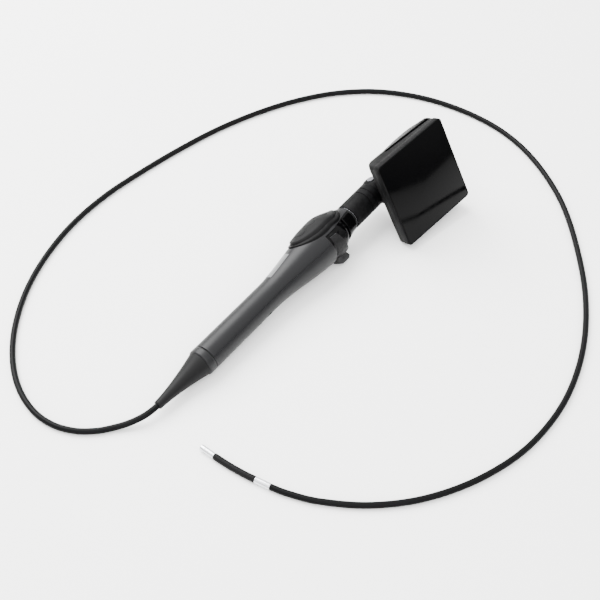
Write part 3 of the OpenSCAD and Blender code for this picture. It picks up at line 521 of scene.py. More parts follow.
# a tube through points in metres, with metres along and turns around in its UV map
def sweptTube(points, radii, sides=20):
    bm = bmesh.new()
    alongLayer = bm.verts.layers.float.new("along")
    aroundLayer = bm.verts.layers.float.new("around")
    up = Vector((0, 0, 1))
    travelled = 0.0
    rings = []
    for i, point in enumerate(points):
        before, after = points[max(i - 1, 0)], points[min(i + 1, len(points) - 1)]
        heading = (after - before).normalized()
        side = up.cross(heading).normalized()
        top = heading.cross(side)
        basis = Matrix((side, top, heading)).transposed().to_4x4()
        if i:
            travelled += (point - points[i - 1]).length
        made = bmesh.ops.create_circle(
            bm, cap_ends=False, radius=radii[i], segments=sides, matrix=Matrix.Translation(point) @ basis
        )["verts"]
        for k, vert in enumerate(made):
            vert[alongLayer] = travelled
            vert[aroundLayer] = k / sides
        rings.append(made)
    for first, second in zip(rings, rings[1:]):
        edges = list({e for v in first + second for e in v.link_edges if not e.link_faces
            or len(e.link_faces) < 2})
        firstSet, secondSet = set(first), set(second)
        loops = [e for e in edges if set(e.verts) <= firstSet or set(e.verts) <= secondSet]
        bmesh.ops.bridge_loops(bm, edges=loops)
    uv = bm.loops.layers.uv.new("UVMap")
    for face in bm.faces:
        values = [loop.vert[aroundLayer] for loop in face.loops]
        wraps = max(values) - min(values) > 0.5
        for loop, value in zip(face.loops, values):
            loop[uv].uv = (loop.vert[alongLayer], value + 1 if wraps and value < 0.5 else value)
    bmesh.ops.recalc_face_normals(bm, faces=bm.faces)
    return bm


# ---- insertion tube ----

lie = 2.8
tube = {
    "diameter": 5.5, "reliefLength": 53, "steps": 12, "sides": 20,
    "ringPlace": (-183, -98, 2.95), "ringHeading": 100, "ringLength": 14,
    "route": [
        (-196, 24, 8.2), (-208, 30, 5.4), (-219, 38, 3.4), (-231, 48, lie), (-242, 62, lie), (-249, 81, lie),
        (-249, 104, lie), (-240, 131, lie), (-222, 158, lie), (-195, 184, lie), (-160, 207, lie),
         (-120, 224, lie),
        (-75, 235, lie), (-28, 238, lie), (20, 234, lie), (68, 227, lie), (115, 217, lie), (160, 202, lie),
        (202, 182, lie), (240, 155, lie), (270, 120, lie), (290, 76, lie), (298, 27, lie), (294, -20, lie),
        (276, -66, lie), (243, -114, lie), (198, -157, lie), (147, -195, lie), (92, -223, lie),
         (35, -238, lie),
        (-22, -238, lie), (-72, -224, lie), (-115, -200, lie), (-147, -170, lie), (-169, -137, lie),
         (-179, -113, lie),
    ],
}


def ringDirection():
    heading = math.radians(tube["ringHeading"])
    return Vector((math.cos(heading), math.sin(heading), 0))


def smoothRoute():
    leave = Vector((-math.cos(slope), 0, -math.sin(slope)))
    start = Vector((pose["standX"], pose["standY"], noseHeight)) + leave * tube["reliefLength"]
    stop = Vector(tube["ringPlace"])
    knots = [start - leave * tube["reliefLength"] / 4, start, *map(Vector, tube["route"]), stop,
        stop + 12 * ringDirection()]
    line = []
    for a, b, c, d in zip(knots, knots[1:], knots[2:], knots[3:]):
        for k in range(tube["steps"]):
            t = k / tube["steps"]
            curve, twist = 2 * a - 5 * b + 4 * c - d, 3 * b - a - 3 * c + d
            line.append(0.5 * (2 * b + (c - a) * t + curve * t * t + twist * t ** 3))
    line.append(stop)
    return [p * 0.001 for p in line]


def makeTube():
    line = smoothRoute()
    length = sum((b - a).length for a, b in zip(line, line[1:]))
    bm = sweptTube(line, [tube["diameter"] / 2000] * len(line), tube["sides"])
    piece = addPiece("insertionTube", bm, Matrix(), "handle", tubeSheath, ["insertion_tube"])
    return piece, line, length


tubePiece, tubeLine, tubeLength = makeTube()
print("insertion tube", round(tubeLength, 3), "m")


# ---- metal ring, bending section and camera tip ----

distal = {"links": 6, "bendLength": 40, "linkTurn": -2, "sleeveDiameter": 5.8, "ringDiameter": 5.8,
    "tipDiameter": 5.4, "tipLength": 14}
linkPitch = distal["bendLength"] / (distal["links"] - 1)


def distalHeading(index):
    angle = math.radians(tube["ringHeading"] + distal["linkTurn"] * index)
    return Vector((math.cos(angle), math.sin(angle), 0))


def jointPoint(index):
    point = Vector(tube["ringPlace"]) + tube["ringLength"] * distalHeading(0)
    for i in range(index):
        point = point + (linkPitch / 2 if i == 0 else linkPitch) * distalHeading(i)
    return point


def distalFrame(index, along=0):
    angle = tube["ringHeading"] + distal["linkTurn"] * index
    origin = jointPoint(index) if index else Vector(tube["ringPlace"])
    return toMetres @ Matrix.Translation(origin) @ turn(angle, "Z") @ shift(along, 0, 0)


def makeCrimpRing():
    r, length = distal["ringDiameter"] / 2, tube["ringLength"]
    outline = [(0.05, 1.0), (0.05, r - 0.35), (0.35, r - 0.05), (0.9, r)]
    for groove in (2.2, 3.2):
        outline += [(groove, r), (groove + 0.15, r - 0.16), (groove + 0.45, r - 0.16), (groove + 0.6, r)]
    outline += [(length - 1.6, r), (length - 1.4, r - 0.12), (length - 1.1, r - 0.12), (length - 0.9, r)]
    outline += [(length - 0.35, r - 0.05), (length - 0.05, r - 0.3), (length - 0.05, 1.0)]
    return addPiece("crimpRing", turned(outline, 64), distalFrame(0), "handle", brightMetal,
        ["crimp_ring"], 30)


def makeSleeves():
    pieces = []
    replaced = [["sleeve_1", "sleeve_2"], ["sleeve_3"], ["sleeve_4"], ["sleeve_5"], ["sleeve_6"]]
    last = distal["links"] - 1
    for i in range(1, last + 1):
        joint = jointPoint(i)
        back = joint - distalHeading(i - 1) * (linkPitch / 2)
        ahead = joint + distalHeading(i) * (linkPitch / 2)
        line = []
        for k in range(17):
            t = k / 16
            line.append((back * (1 - t) ** 2 + joint * 2 * t * (1 - t) + ahead * t * t) * 0.001)
        radii = []
        for k in range(17):
            fromEnd = (k if i == 1 else 99, 16 - k if i == last else 99)
            near = min(fromEnd)
            radii.append(0.001 * (distal["sleeveDiameter"] / 2 - (0.25 if near == 0 else 0.06
                if near == 1 else 0)))
        bm = sweptTube(line, radii, 28)
        piece = addPiece(f"bendingSleeve{i}", bm, Matrix(), None, bendBraid, replaced[i - 1])
        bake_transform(piece)
        pieces.append(piece)
    return pieces


def makeTip():
    r, length = distal["tipDiameter"] / 2, distal["tipLength"]
    outline = [
        (0.05, 1.2), (0.05, r - 0.25), (0.3, r - 0.02), (0.8, r), (1.6, r), (1.75, r - 0.14),
         (2.05, r - 0.14), (2.2, r),
        (length - 4.4, r), (length - 4.3, r - 0.07), (length - 4.15, r - 0.07), (length - 4.05, r),
        (length - 0.5, r), (length - 0.12, r - 0.14), (length, r - 0.42), (length, r - 0.55),
         (length - 0.75, r - 0.6), (length - 0.8, 1.36),
        (length - 7, 1.36), (length - 7, 0.4), (1, 0.4),
    ]
    place = distalFrame(distal["links"] - 1, linkPitch / 2)
    return addPiece("tipHousing", turned(outline, 64), place, "bend_6", brightMetal,
        ["tip_housing"], 30)


def makeLens():
    length = distal["tipLength"]
    place = distalFrame(distal["links"] - 1, linkPitch / 2)
    outline = [(length - 6.8, 0.0), (length - 6.8, 1.28), (length - 0.5, 1.28), (length - 0.35, 1.2),
        (length - 0.35, 0.95), (length - 0.7, 0.9)]
    outline += [(length - 0.7 + 0.42 * math.cos(math.radians(a)), 0.9 * math.sin(math.radians(a)))
        for a in range(80, -1, -16)]
    return addPiece("cameraLens", turned(outline, 48), place, "bend_6", lensGlass, ["camera_module"],
        40)


ringPiece = makeCrimpRing()
sleevePieces = makeSleeves()
tipPiece = makeTip()
lensPiece = makeLens()
print("camera tip made")


# ---- handle ----

handle = {
    "gripRadius": 12.8, "headRadius": 20.5, "neckRadius": 12.8, "flareStart": 90, "headX": 170, "headFlat": 4,
    "shellEnd": 206, "pivotX": 180, "wall": 2, "parting": 0.15, "endX": 164.8, "endLean": -3, "armTop": 8.9,
    "joinX": 160,
}


def ease(u):
    u = min(max(u, 0), 1)
    return u * u * (3 - 2 * u)


def skinRadius(x):
    h = handle
    if x < h["headX"]:
        swell = ease((x - h["flareStart"]) / (h["headX"] - h["flareStart"]))
        return h["gripRadius"] + (h["headRadius"] - h["gripRadius"]) * swell
    past = (x - h["headX"] - h["headFlat"]) / (h["shellEnd"] - h["headX"] - h["headFlat"])
    return h["neckRadius"] + (h["headRadius"] - h["neckRadius"]) * (1 - ease(past))


# closed outline of the handle's wall between two stations
def wallOutline(x0, x1, step=2.5, lip=0.35):
    count = max(2, int((x1 - x0) / step))
    stations = [x0 + lip + (x1 - x0 - 2 * lip) * i / count for i in range(count + 1)]
    outer = [(x, skinRadius(x)) for x in stations]
    inner = [(x, skinRadius(x) - handle["wall"]) for x in (stations[-1] + lip, *reversed(stations[1:-1]),
        stations[0] - lip)]
    return [(x0, skinRadius(x0) - lip), *outer, (x1, skinRadius(x1) - lip), *inner]


def slantedEnd(side):
    lean = shift(handle["endX"], 0, 0) @ turn(handle["endLean"], "Y")
    return box((0, -60, -60), (120, 60, 60), lean) if side > 0 else box((-400, -60, -300), (0, 60, 300), lean)


def makeFrontShell():
    h = handle
    near = carve(turned(wallOutline(8.15, 190)), slantedEnd(1))
    near = carve(near, box((-20, -60, -60), (300, 60, h["parting"])))
    near = carve(near, box((h["joinX"], -60, h["armTop"]), (300, 60, 60)))
    far = carve(turned(wallOutline(h["joinX"], h["shellEnd"] - 0.05, lip=0.01)),
        box((-20, -60, -60), (300, 60, h["armTop"])))
    for bm in (near, far):
        soften(bm, sharpEdges(bm, 50), 0.3, 2)
    return addPiece("frontShell", joined(near, far), handleFrame, "handle", shellPlastic,
        ["front_shell"], 32)


lipRing = {"start": 161, "end": 169, "clearRadius": 21.5, "top": 8.6, "slotHalf": 6.0, "slotTop": -9}
rearScrews = {"stations": [79, 141], "offset": 6.5, "wellRadius": 2.3, "wellFloor": -8.1}


def makeRearShell():
    h = handle
    bm = carve(turned(wallOutline(8.15, 185)), box((-20, -60, -h["parting"]), (300, 60, 60)))
    bm = carve(bm, slantedEnd(1))
    bm = carve(bm, box((160, -lipRing["slotHalf"], -60), (260, lipRing["slotHalf"], lipRing["slotTop"])))
    for x in rearScrews["stations"]:
        for y in (-rearScrews["offset"], rearScrews["offset"]):
            depth = -rearScrews["wellFloor"]
            bm = carve(bm, rod(rearScrews["wellRadius"], 24, shift(x, y, -depth - 12)))
    soften(bm, sharpEdges(bm, 50), 0.3, 2)
    return addPiece("rearShell", bm, handleFrame, "handle", shellPlastic, ["rear_shell"], 32)


# recessed black lip behind the lever, with the slot that the lever's foot swings in
def makeLip():
    outer = handle["headRadius"] - handle["wall"] - 0.3
    inner = handle["headRadius"] - 2 * handle["wall"] - 0.3
    low, high = lipRing["start"], lipRing["end"]
    bm = turned([(low, inner), (low, outer), (high, outer), (high, inner)], 96)
    bm = carve(bm, ball(lipRing["clearRadius"], shift(handle["pivotX"], 0, 0), 96))
    bm = carve(bm, box((100, -60, lipRing["top"]), (260, 60, 60)))
    bm = carve(bm, box((100, -lipRing["slotHalf"], -60), (260, lipRing["slotHalf"], lipRing["slotTop"])))
    soften(bm, sharpEdges(bm, 50), 0.15, 2)
    return addPiece("shellLip", bm, handleFrame, "handle", glossBlack, (), 40)


def makeScrewWells():
    parts = []
    for x in rearScrews["stations"]:
        for y in (-rearScrews["offset"], rearScrews["offset"]):
            well = bmesh.new()
            bmesh.ops.create_cone(
                well, cap_ends=False, segments=32, radius1=rearScrews["wellRadius"],
                radius2=rearScrews["wellRadius"],
                depth=9, matrix=shift(x, y, rearScrews["wellFloor"] + 1.2 - 4.5),
            )
            reach = math.sqrt(max(skinRadius(x) ** 2 - (abs(y) + 2.3) ** 2, 1)) - 0.4
            bmesh.ops.bisect_plane(
                well, geom=well.verts[:] + well.edges[:] + well.faces[:], plane_co=(0, 0, -reach),
                plane_no=(0, 0, 1), clear_inner=True,
            )
            bmesh.ops.solidify(well, geom=well.faces[:], thickness=-0.5)
            parts.append(well)
    return addPiece("screwWells", joined(*parts), handleFrame, "handle", shellPlastic)


def makeNoseRing():
    r = pose["noseRadius"]
    outline = [(0.1, 9.6), (0.0, r - 1.6), (0.15, r - 0.9), (0.6, r - 0.35), (1.3, r - 0.03), (2.2, r)]
    outline += [(5.6, r), (6.9, r - 0.03), (7.5, r - 0.2), (7.85, r - 0.6), (7.9, 9.6)]
    return addPiece("noseRing", turned(outline, 128), handleFrame, "handle", shellPlastic,
        ["nose_ring"], 60)


def makeStrainRelief():
    length = tube["reliefLength"]
    count = 40
    outline = [(-length, 2.8), (-length, 3.7), (-length + 0.3, 3.98)]
    for i in range(1, count + 1):
        t = i / count
        outline.append((length * (t - 1) - 0.05, 4 + 7.9 * t ** 1.55))
    outline += [(0.0, 9.0), (-0.5, 2.8)]
    return addPiece("strainRelief", turned(outline, 96), handleFrame, "handle", softRubber,
        ["strain_relief"], 60)


makeFrontShell()
makeRearShell()
makeLip()
makeScrewWells()
makeNoseRing()
makeStrainRelief()
print("handle shells made")


# ---- keypad ----

keypad = {"x": 170, "halfLength": 32, "halfWidth": 17.5, "rim": 2.6, "gap": 0.8, "rimRise": 1.1,
    "padRise": 2.8, "keyRise": 3.4}


def headHeight(x, y, rise):
    return math.sqrt(max((skinRadius(x) + rise) ** 2 - y * y, 1.0))


# concentric ovals laid over the head: each ring is (inset from the rim, rise over the skin)
def drapedOval(rings, cap=True, steps=120):
    bm = bmesh.new()
    bmesh.ops.create_circle(bm, cap_ends=False, radius=1, segments=steps)
    edges = bm.edges[:]
    verts = bm.verts[:]
    angles = {v: math.atan2(v.co.y, v.co.x) for v in verts}
    for number, (inset, rise) in enumerate(rings):
        if number:
            made = bmesh.ops.extrude_edge_only(bm, edges=edges)["geom"]
            fresh = vertsIn(made)
            old = {v.co.copy().freeze(): a for v, a in angles.items()}
            angles = {v: old[v.co.copy().freeze()] for v in fresh}
            freshSet = set(fresh)
            edges = [g for g in made if isinstance(g, bmesh.types.BMEdge) and set(g.verts) <= freshSet]
        for v, angle in angles.items():
            x = keypad["x"] + (keypad["halfLength"] - inset) * math.cos(angle)
            y = (keypad["halfWidth"] - inset) * math.sin(angle)
            v.co = (x, y, headHeight(x, y, rise))
    if cap:
        bmesh.ops.contextual_create(bm, geom=edges)
    bmesh.ops.recalc_face_normals(bm, faces=bm.faces)
    return bm


def makeRim():
    k = keypad
    rings = [(0, -1.0), (0, 0.7), (0.15, 1.0), (0.45, k["rimRise"]), (k["rim"] - 0.45, k["rimRise"]),
        (k["rim"] - 0.12, 0.95), (k["rim"], 0.6), (k["rim"], -1.6), (0.5, -1.6), (0, -1.0)]
    bm = drapedOval(rings, cap=False)
    bmesh.ops.remove_doubles(bm, verts=bm.verts, dist=0.003)
    bmesh.ops.recalc_face_normals(bm, faces=bm.faces)
    return addPiece("keypadRim", bm, handleFrame, "handle", glossRim, ["keypad_rim"], 50)


def padCrown(inset):
    return keypad["padRise"] + 0.25 * ease(inset / 14)


keySpots = {"key_up": -15, "key_shutter": 0, "key_down": 15}


def keyOutline(x, length, width, low, high):
    bm = bmesh.new()
    r = length / 2
    for side in (-1, 1):
        bmesh.ops.create_circle(bm, cap_ends=False, radius=r, segments=48,
            matrix=shift(x, side * (width / 2 - r), low))
    hull = bmesh.ops.convex_hull(bm, input=bm.verts[:])
    loose = vertsIn(hull["geom_interior"])
    bmesh.ops.delete(bm, geom=loose, context="VERTS")
    bmesh.ops.dissolve_limit(bm, angle_limit=0.02, verts=bm.verts, edges=bm.edges)
    made = bmesh.ops.extrude_face_region(bm, geom=bm.faces[:])["geom"]
    fresh = vertsIn(made)
    bmesh.ops.translate(bm, verts=fresh, vec=(0, 0, high - low))
    bmesh.ops.recalc_face_normals(bm, faces=bm.faces)
    return bm


def makePad():
    start = keypad["rim"] + keypad["gap"]
    rings = [(start, -2.2), (start, 1.9), (start + 0.25, 2.45), (start + 0.8, keypad["padRise"])]
    rings += [(start + step, padCrown(step)) for step in (1.8, 3.2, 5.0, 7.0, 9.0, 11.0, 13.0)]
    bm = drapedOval(rings)
    bottom = [e for e in bm.edges if len(e.link_faces) == 1]
    bmesh.ops.contextual_create(bm, geom=bottom)
    bmesh.ops.recalc_face_normals(bm, faces=bm.faces)
    for spot in keySpots.values():
        bm = carve(bm, keyOutline(keypad["x"] + spot, 11.4, 13.4, 18.6, 40))
    return addPiece("keypadPad", bm, handleFrame, "handle", padRubber, ["keypad_pad"], 40)


def makeKey(node, spot):
    x = keypad["x"] + spot
    bm = keyOutline(x, 11, 13, 17.4, 40)
    crown = turned([(keypad["x"] - 40 + 0.5 * i,
        skinRadius(keypad["x"] - 40 + 0.5 * i) + keypad["keyRise"] - 0.35)
        for i in range(152)] + [(205.5, 0.0), (130, 0.0)], 120)
    bm = carve(bm, crown, "INTERSECT")
    soften(bm, sharpEdges(bm, 50), 0.35, 3)
    return addPiece(node.replace("_", "") + "Cap", bm, handleFrame, keyBody[node], padRubber, [node],
        40)


glossRim = finish(
    "glossRim", (0.0006, 0.0006, 0.0007), (0.0011, 0.0011, 0.0012), (0.34, 0.44), grain=1200,
    depth=0.03, bump=0.2, edgeWearAndHighlight=0.5, wornAndHighlitColor=(0.012, 0.012, 0.012), specular=0.05,
)
keyBody = {"key_up": "up_key", "key_shutter": "shutter_key", "key_down": "down_key"}
makeRim()
makePad()
for node, spot in keySpots.items():
    makeKey(node, spot)
print("keypad made")


# ---- label ----

label = {"x0": 102, "x1": 131, "halfWidth": 4.4, "rise": 0.25}


def makeLabel():
    bm = bmesh.new()
    bmesh.ops.create_grid(bm, x_segments=28, y_segments=12, size=0.5)
    for v in bm.verts:
        x = label["x0"] + (label["x1"] - label["x0"]) * (v.co.x + 0.5)
        y = 2 * label["halfWidth"] * v.co.y
        v.co = (x, y, headHeight(x, y, label["rise"]))
    bmesh.ops.solidify(bm, geom=bm.faces[:], thickness=0.18)
    bmesh.ops.recalc_face_normals(bm, faces=bm.faces)
    return addPiece("labelPlate", bm, handleFrame, "handle", labelFoil, ["label_plate"])


makeLabel()
print("label made")


# ---- lever and its guard ----

lever = {"outer": 21.2, "inner": 19.25, "top": 4.5, "foot": 28.2, "middle": -8.1, "slant": 11,
    "topWidth": 7.2, "footWidth": 15,
         "ear": 4.3, "tabHalf": 5.1}
pivot = shift(handle["pivotX"], 0, 0)


# front or back edge of the lever at a height z, measured from the pivot
def leverEdge(side, z):
    l = lever
    down = l["top"] - z
    width = l["topWidth"] + (l["footWidth"] - l["topWidth"]) * down / (l["top"] + l["foot"])
    return l["middle"] + down * math.tan(math.radians(l["slant"])) + side * width / 2


# a closed prism along Y from an outline of [x, z] points
def sidePrism(outline, half, place):
    bm = bmesh.new()
    face = bm.faces.new([bm.verts.new((x, -half, z)) for x, z in outline])
    made = bmesh.ops.extrude_face_region(bm, geom=[face])["geom"]
    bmesh.ops.translate(bm, verts=vertsIn(made), vec=(0, 2 * half, 0))
    bmesh.ops.recalc_face_normals(bm, faces=bm.faces)
    bmesh.ops.transform(bm, matrix=place, verts=bm.verts)
    return bm


def makeLever():
    l = lever
    shell = carve(ball(l["outer"], pivot, 128), ball(l["inner"], pivot, 128))
    arms = sidePrism([(leverEdge(-1, l["top"]), l["top"]), (leverEdge(1, l["top"]), l["top"]),
        (leverEdge(1, -27), -27), (leverEdge(-1, -27), -27)], 40, pivot)
    band = carve(shell, arms, "INTERSECT")
    soften(band, sharpEdges(band, 50), 0.55, 3)
    base = 1.6 - l["outer"]
    tab = sidePrism([
        (leverEdge(-1, base) + 0.3, base), (leverEdge(-1, 3.5 - l["foot"]), 3.5 - l["foot"]),
         (leverEdge(-1, -l["foot"]) + 3.5, -l["foot"]),
        (leverEdge(1, -l["foot"]) - 3, -l["foot"]), (leverEdge(1, 3 - l["foot"]), 3 - l["foot"]),
         (leverEdge(1, base) - 0.3, base),
    ], l["tabHalf"], pivot)
    foot = [e for e in tab.edges if all(v.co.z < -l["foot"] + 0.1 and abs(abs(v.co.y) - l["tabHalf"]) < 0.1
        for v in e.verts)
            and (e.verts[0].co - e.verts[1].co).length > 3 and span(e).y < 0.1]
    soften(tab, foot, 2.3, 2)
    soften(tab, sharpEdges(tab, 40), 0.6, 3)
    return addPiece("thumbLever", joined(band, tab), handleFrame, "lever", leverTexture,
        ["bend_lever"], 40)


def makeLeverEars():
    l = lever
    ears = carve(ball(l["outer"] - 0.02, pivot, 128), ball(l["inner"], pivot, 128))
    ears = carve(ears, rod(l["ear"], 80, pivot @ turn(90, "X"), 64), "INTERSECT")
    soften(ears, sharpEdges(ears, 50), 0.4, 3)
    return addPiece("leverEars", ears, handleFrame, "lever", glossBlack, (), 40)


def makeGuard():
    h = handle
    arc = []
    for i in range(0, 30):
        x = h["pivotX"] - 16 + i
        arc.append((x, math.sqrt(max(18.7 ** 2 - (x - h["pivotX"]) ** 2, 1))))
    collar = [(x, skinRadius(x)) for x in (193.4, 195, 197, 199, 201, 203, 204.5)]
    outline = [(arc[0][0], 8), *arc, (193.0, skinRadius(193) - 0.4), *collar, (205.6, skinRadius(205.6)),
        (205.95, skinRadius(206) - 0.35), (205.95, 10.9), (190, 10.9), (178, 8)]
    bm = carve(turned(outline, 128), box((100, -60, lipRing["top"]), (300, 60, 60)))
    return addPiece("leverGuard", bm, handleFrame, "handle", glossBlack, ["lever_guard"], 45)


def makeLeverCaps():
    parts = []
    for side in (-1, 1):
        cap = rod(2.95, 0.95, pivot @ shift(0, side * 20.68, 0) @ turn(-90 * side, "X"), 40)
        top = max(cap.faces, key=lambda f: side * f.calc_center_median().y)
        bmesh.ops.inset_region(cap, faces=[top], thickness=0.7, depth=0)
        bmesh.ops.translate(cap, verts=top.verts[:], vec=(0, -0.25 * side, 0))
        soften(cap, sharpEdges(cap, 40), 0.15, 2)
        parts.append(cap)
    return addPiece("leverCaps", joined(*parts), handleFrame, "lever", glossBlack, ["lever_caps"],
        40)


makeLever()
makeLeverEars()
makeGuard()
makeLeverCaps()
print("lever made")


# ---- neck ----

neck = {"start": 208.6, "radius": 12.8, "grooves": (231, 237.5), "cup": 14.3, "knuckle": 13.6,
    "halfTongue": 4.6, "earIn": 5.25, "earOut": 12.6}


def makeNeck():
    n = neck
    rimX = pose["pinX"] - math.sqrt(n["cup"] ** 2 - n["radius"] ** 2)
    outline = [(n["start"], 8.2), (n["start"], n["radius"] - 0.7), (n["start"] + 0.25, n["radius"] - 0.2),
        (n["start"] + 0.8, n["radius"])]
    for groove in n["grooves"]:
        outline += [(groove, n["radius"]), (groove + 0.1, n["radius"] - 0.5),
            (groove + 0.8, n["radius"] - 0.5), (groove + 0.9, n["radius"])]
    outline += [(rimX - 0.9, n["radius"]), (rimX - 0.35, n["radius"] - 0.12)]
    for angle in range(0, 56, 5):
        a = math.radians(63 - angle)
        outline.append((pose["pinX"] - n["cup"] * math.cos(a), n["cup"] * math.sin(a)))
    outline += [(pose["pinX"] - n["cup"], 0.0), (n["start"] - 1, 0.0)]
    barrel = turned(outline, 128)
    tongue = rod(n["knuckle"] - 0.25, 2 * n["halfTongue"], shift(pose["pinX"], 0, 0) @ turn(90, "X"), 96)
    soften(tongue, sharpEdges(tongue, 50), 0.5, 3)
    stem = box((pose["pinX"] - 15.5, -n["halfTongue"], -9), (pose["pinX"], n["halfTongue"], 9))
    return addPiece("neckBarrel", joined(barrel, tongue, stem), neckFrame, "neck", barrelMatte,
        ["neck_barrel"], 40)


def makeSealRing():
    outline = [(205.9, 9.2), (205.9, 11.5), (206.3, 11.85), (207.6, 11.85), (208.0, 11.5), (208.0, 9.2)]
    return addPiece("sealRing", turned(outline, 96), handleFrame, "handle", softRubber, ["seal_ring"],
        60)


bracket = {"armLow": -2.5, "armHigh": 8, "plateLow": -6, "plateHigh": 10, "plateZ": 17.95, "plateT": 3,
    "halfPlate": 20}


def makeBracket():
    n, b = neck, bracket
    parts = []
    for side in (-1, 1):
        low, high = sorted((side * n["earIn"], side * n["earOut"]))
        knob = ball(n["knuckle"], Matrix(), 96)
        knob = carve(knob, box((-30, low, -30), (30, high, 30)), "INTERSECT")
        soften(knob, sharpEdges(knob, 50), 0.5, 3)
        arm = box((b["armLow"], low + 0.1, 0.5), (b["armHigh"], high - 0.1, b["plateZ"] + 1))
        soften(arm, [e for e in arm.edges if span(e).z > 5], 1.4, 4)
        parts += [knob, arm]
    plate = box((b["plateLow"], -b["halfPlate"], b["plateZ"]),
        (b["plateHigh"], b["halfPlate"], b["plateZ"] + b["plateT"]))
    soften(plate, [e for e in plate.edges if span(e).z > 1], 2, 5)
    soften(plate, sharpEdges(plate, 50), 0.5, 2)
    return addPiece("hingeBracket", joined(*parts, plate), screenFrame, "screen", barrelMatte,
        ["hinge_bracket"], 40)


makeNeck()
makeSealRing()
makeBracket()
print("neck made")


# ---- screen ----

screen = {
    "height": 86, "width": 88, "drop": 18, "glassZ": 45, "frameDepth": 7, "corner": 4, "inset": 0.8,
    "glass": 1.1,
    "sideFlat": 17.5, "sideLean": 7, "humpDepth": 33,
    "line": [(0.8, 13), (12, 24), (29, 24), (50, 31.5), (64, 33), (71, 32), (81, 18), (85.2, 13)],
    "slotX": 26, "slotLength": 58, "slotWidth": 3.8, "slotBack": 15, "slotDeep": 5, "slotLean": 4,
}
# x up the screen, y across, z out of the glass
glassFace = screenFrame @ shift(-screen["drop"], 0, screen["glassZ"])


def roundPlate(x0, x1, halfWidth, z0, z1, corner, segments=8):
    bm = box((x0, -halfWidth, z0), (x1, halfWidth, z1))
    soften(bm, [e for e in bm.edges if span(e).z > 0.5 * abs(z1 - z0) and span(e).x < 0.1
        and span(e).y < 0.1], corner, segments)
    return bm


def makeScreenFrame():
    s = screen
    bm = roundPlate(0, s["height"], s["width"] / 2, 0.02 - s["frameDepth"], 0, s["corner"])
    soften(bm, sharpEdges(bm, 50), 0.7, 3)
    recess = roundPlate(0.9, s["height"] - 0.9, s["width"] / 2 - 0.9, -s["glass"] - 0.02, 3,
        s["corner"] - 0.9)
    bm = carve(bm, recess)
    return addPiece("screenBezel", bm, glassFace, "screen", screenPlastic, ["screen_frame"],
        35)


def makeCoverGlass():
    s = screen
    bm = roundPlate(1.0, s["height"] - 1.0, s["width"] / 2 - 1.0, -s["glass"] + 0.02, -0.02,
        s["corner"] - 1.0)
    soften(bm, [e for e in sharpEdges(bm, 50) if all(v.co.z > -0.5 for v in e.verts)], 0.3, 3)
    return addPiece("coverGlass", bm, glassFace, "screen", coverGlassBlack, ["cover_glass"], 35)


def makeScreenCover():
    s = screen
    half = s["width"] / 2 - s["inset"]
    bm = bmesh.new()
    side = [(s["line"][0][0], s["frameDepth"])] + s["line"] + [(s["line"][-1][0], s["frameDepth"])]
    face = bm.faces.new([bm.verts.new((x, -half, -depth)) for x, depth in side])
    made = bmesh.ops.extrude_face_region(bm, geom=[face])["geom"]
    bmesh.ops.translate(bm, verts=vertsIn(made), vec=(0, 2 * half, 0))
    bmesh.ops.recalc_face_normals(bm, faces=bm.faces)
    everything = bm.verts[:] + bm.edges[:] + bm.faces[:]
    bmesh.ops.bisect_plane(bm, geom=everything, plane_co=(0, 0, -s["sideFlat"]), plane_no=(0, 0, 1))
    for v in bm.verts:
        over = -v.co.z - s["sideFlat"]
        if over > 0.01:
            inward = s["sideLean"] * over / (s["humpDepth"] + 1 - s["sideFlat"])
            v.co.y -= math.copysign(inward, v.co.y)
    corners = [e for e in bm.edges if span(e).x < 0.1 and span(e).y < 0.1
        and max(v.co.z for v in e.verts) > -13.5]
    soften(bm, corners, s["corner"] - s["inset"], 6)
    ridge = [e for e in sharpEdges(bm, 8) if max(v.co.z for v in e.verts) < -12.9 and span(e).y > 40]
    soften(bm, ridge, 2.2, 4)
    rimEdges = [e for e in sharpEdges(bm, 30) if max(v.co.z for v in e.verts) < -12.5]
    soften(bm, rimEdges, 1.3, 3)
    slotPlace = shift(s["slotX"], half, -s["slotBack"] - s["slotWidth"] / 2 - 1.5) @ turn(-s["slotLean"], "Y")
    slot = box((0, -s["slotDeep"], 0), (s["slotLength"], 4, s["slotWidth"]))
    soften(slot, [e for e in slot.edges if span(e).y > 3], 1.5, 4)
    bmesh.ops.transform(slot, matrix=slotPlace, verts=slot.verts)
    bm = carve(bm, slot)
    return addPiece("screenCover", bm, glassFace, "screen", screenPlastic, ["screen_cover"],
        28)


makeScreenFrame()
makeCoverGlass()
makeScreenCover()
print("screen made")


# ---- finishes on the CAD nodes that stay ----

nodeFinish = {
    "screwSteel": ["shell_screws", "battery_contacts", "wire_conduits", "lever_shaft", "pull_wire_front",
    "pull_wire_rear", "wave_washer",
                   "retaining_ring", "hinge_pin", "hinge_washers", "bracket_screws", "cover_screws",
                   "port_block",
                   "link_1", "link_2", "link_3", "link_4", "link_5", "link_6"],
    "machinedBrass": ["tube_anchor", "wire_stops", "lever_bushes", "swivel_bush", "wire_pulley"],
    "boardGreen": ["keypad_board", "main_board", "display_board"],
    "cellWrap": ["battery_cell"],
    "glossBlack": ["display_panel"],
    "lampWhite": ["tip_leds"],
}
for finishName, names in nodeFinish.items():
    for name in names:
        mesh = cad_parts[name].data
        mesh.materials.clear()
        mesh.materials.append(bpy.data.materials[finishName])
print("CAD nodes finished")


# ---- floor and light ----

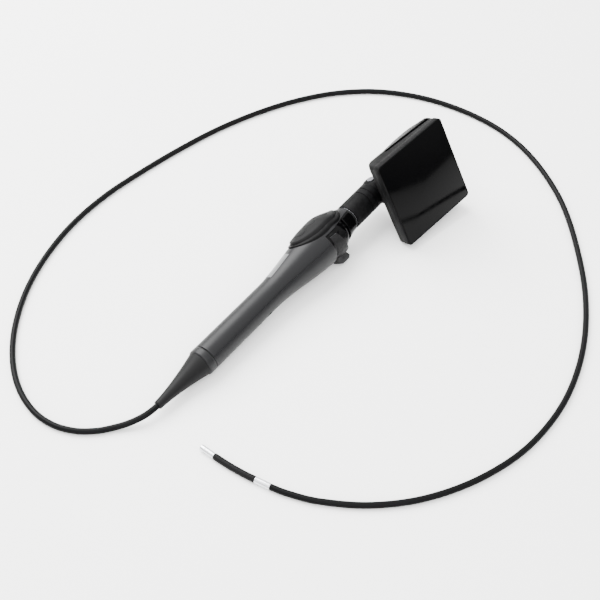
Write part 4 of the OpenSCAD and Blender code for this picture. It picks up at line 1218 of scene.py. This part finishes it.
studio = {"floorSize": 7.0, "floorColor": (0.9, 0.9, 0.895), "keyPlace": (0.1, 1.15, 1.35), "keySize": 1.5,
    "keyPower": 115,
          "fillPlace": (-1.2, -0.9, 1.5), "fillSize": 1.8, "fillPower": 26, "worldLow": 0.5, "worldHigh": 3.7}


def makeFloor():
    material, tree, shader, place = newMaterial("paleFloor", 0.15)
    noise = addNode(tree, "ShaderNodeTexNoise", {"Scale": 40.0, "Detail": 3.0})
    tree.links.new(place.outputs["Object"], noise.inputs["Vector"])
    pale = studio["floorColor"]
    tone = mixColor(tree, noise.outputs["Fac"], pale, tuple(c * 0.995 for c in pale))
    tree.links.new(tone, shader.inputs["Base Color"])
    shader.inputs["Roughness"].default_value = 0.9
    bm = bmesh.new()
    bmesh.ops.create_grid(bm, x_segments=2, y_segments=2, size=studio["floorSize"] / 2)
    mesh = bpy.data.meshes.new("floor")
    bm.to_mesh(mesh)
    bm.free()
    mesh.materials.append(material)
    newObject("floor", mesh)


def addLamp(name, place, size, power):
    data = bpy.data.lights.new(name, "AREA")
    data.energy = power
    data.shape = "SQUARE"
    data.size = size
    lamp = newObject(name, data)
    lamp.matrix_world = facing(place, (0, 0, 0))


def makeWorld():
    world = bpy.data.worlds.new("studio")
    bpy.context.scene.world = world
    world.use_nodes = True
    tree = world.node_tree
    place = addNode(tree, "ShaderNodeTexCoord")
    split = addNode(tree, "ShaderNodeSeparateXYZ")
    level = addNode(tree, "ShaderNodeMapRange", {"From Min": 0.0, "From Max": 0.7,
        "To Min": studio["worldLow"], "To Max": studio["worldHigh"]})
    tree.links.new(place.outputs["Generated"], split.inputs[0])
    tree.links.new(split.outputs["Z"], level.inputs["Value"])
    tree.links.new(level.outputs["Result"], tree.nodes["Background"].inputs["Strength"])
    tree.nodes["Background"].inputs["Color"].default_value = (1, 1, 1, 1)


makeFloor()
addLamp("keyLight", studio["keyPlace"], studio["keySize"], studio["keyPower"])
addLamp("fillLight", studio["fillPlace"], studio["fillSize"], studio["fillPower"])
makeWorld()
print("floor and light made")
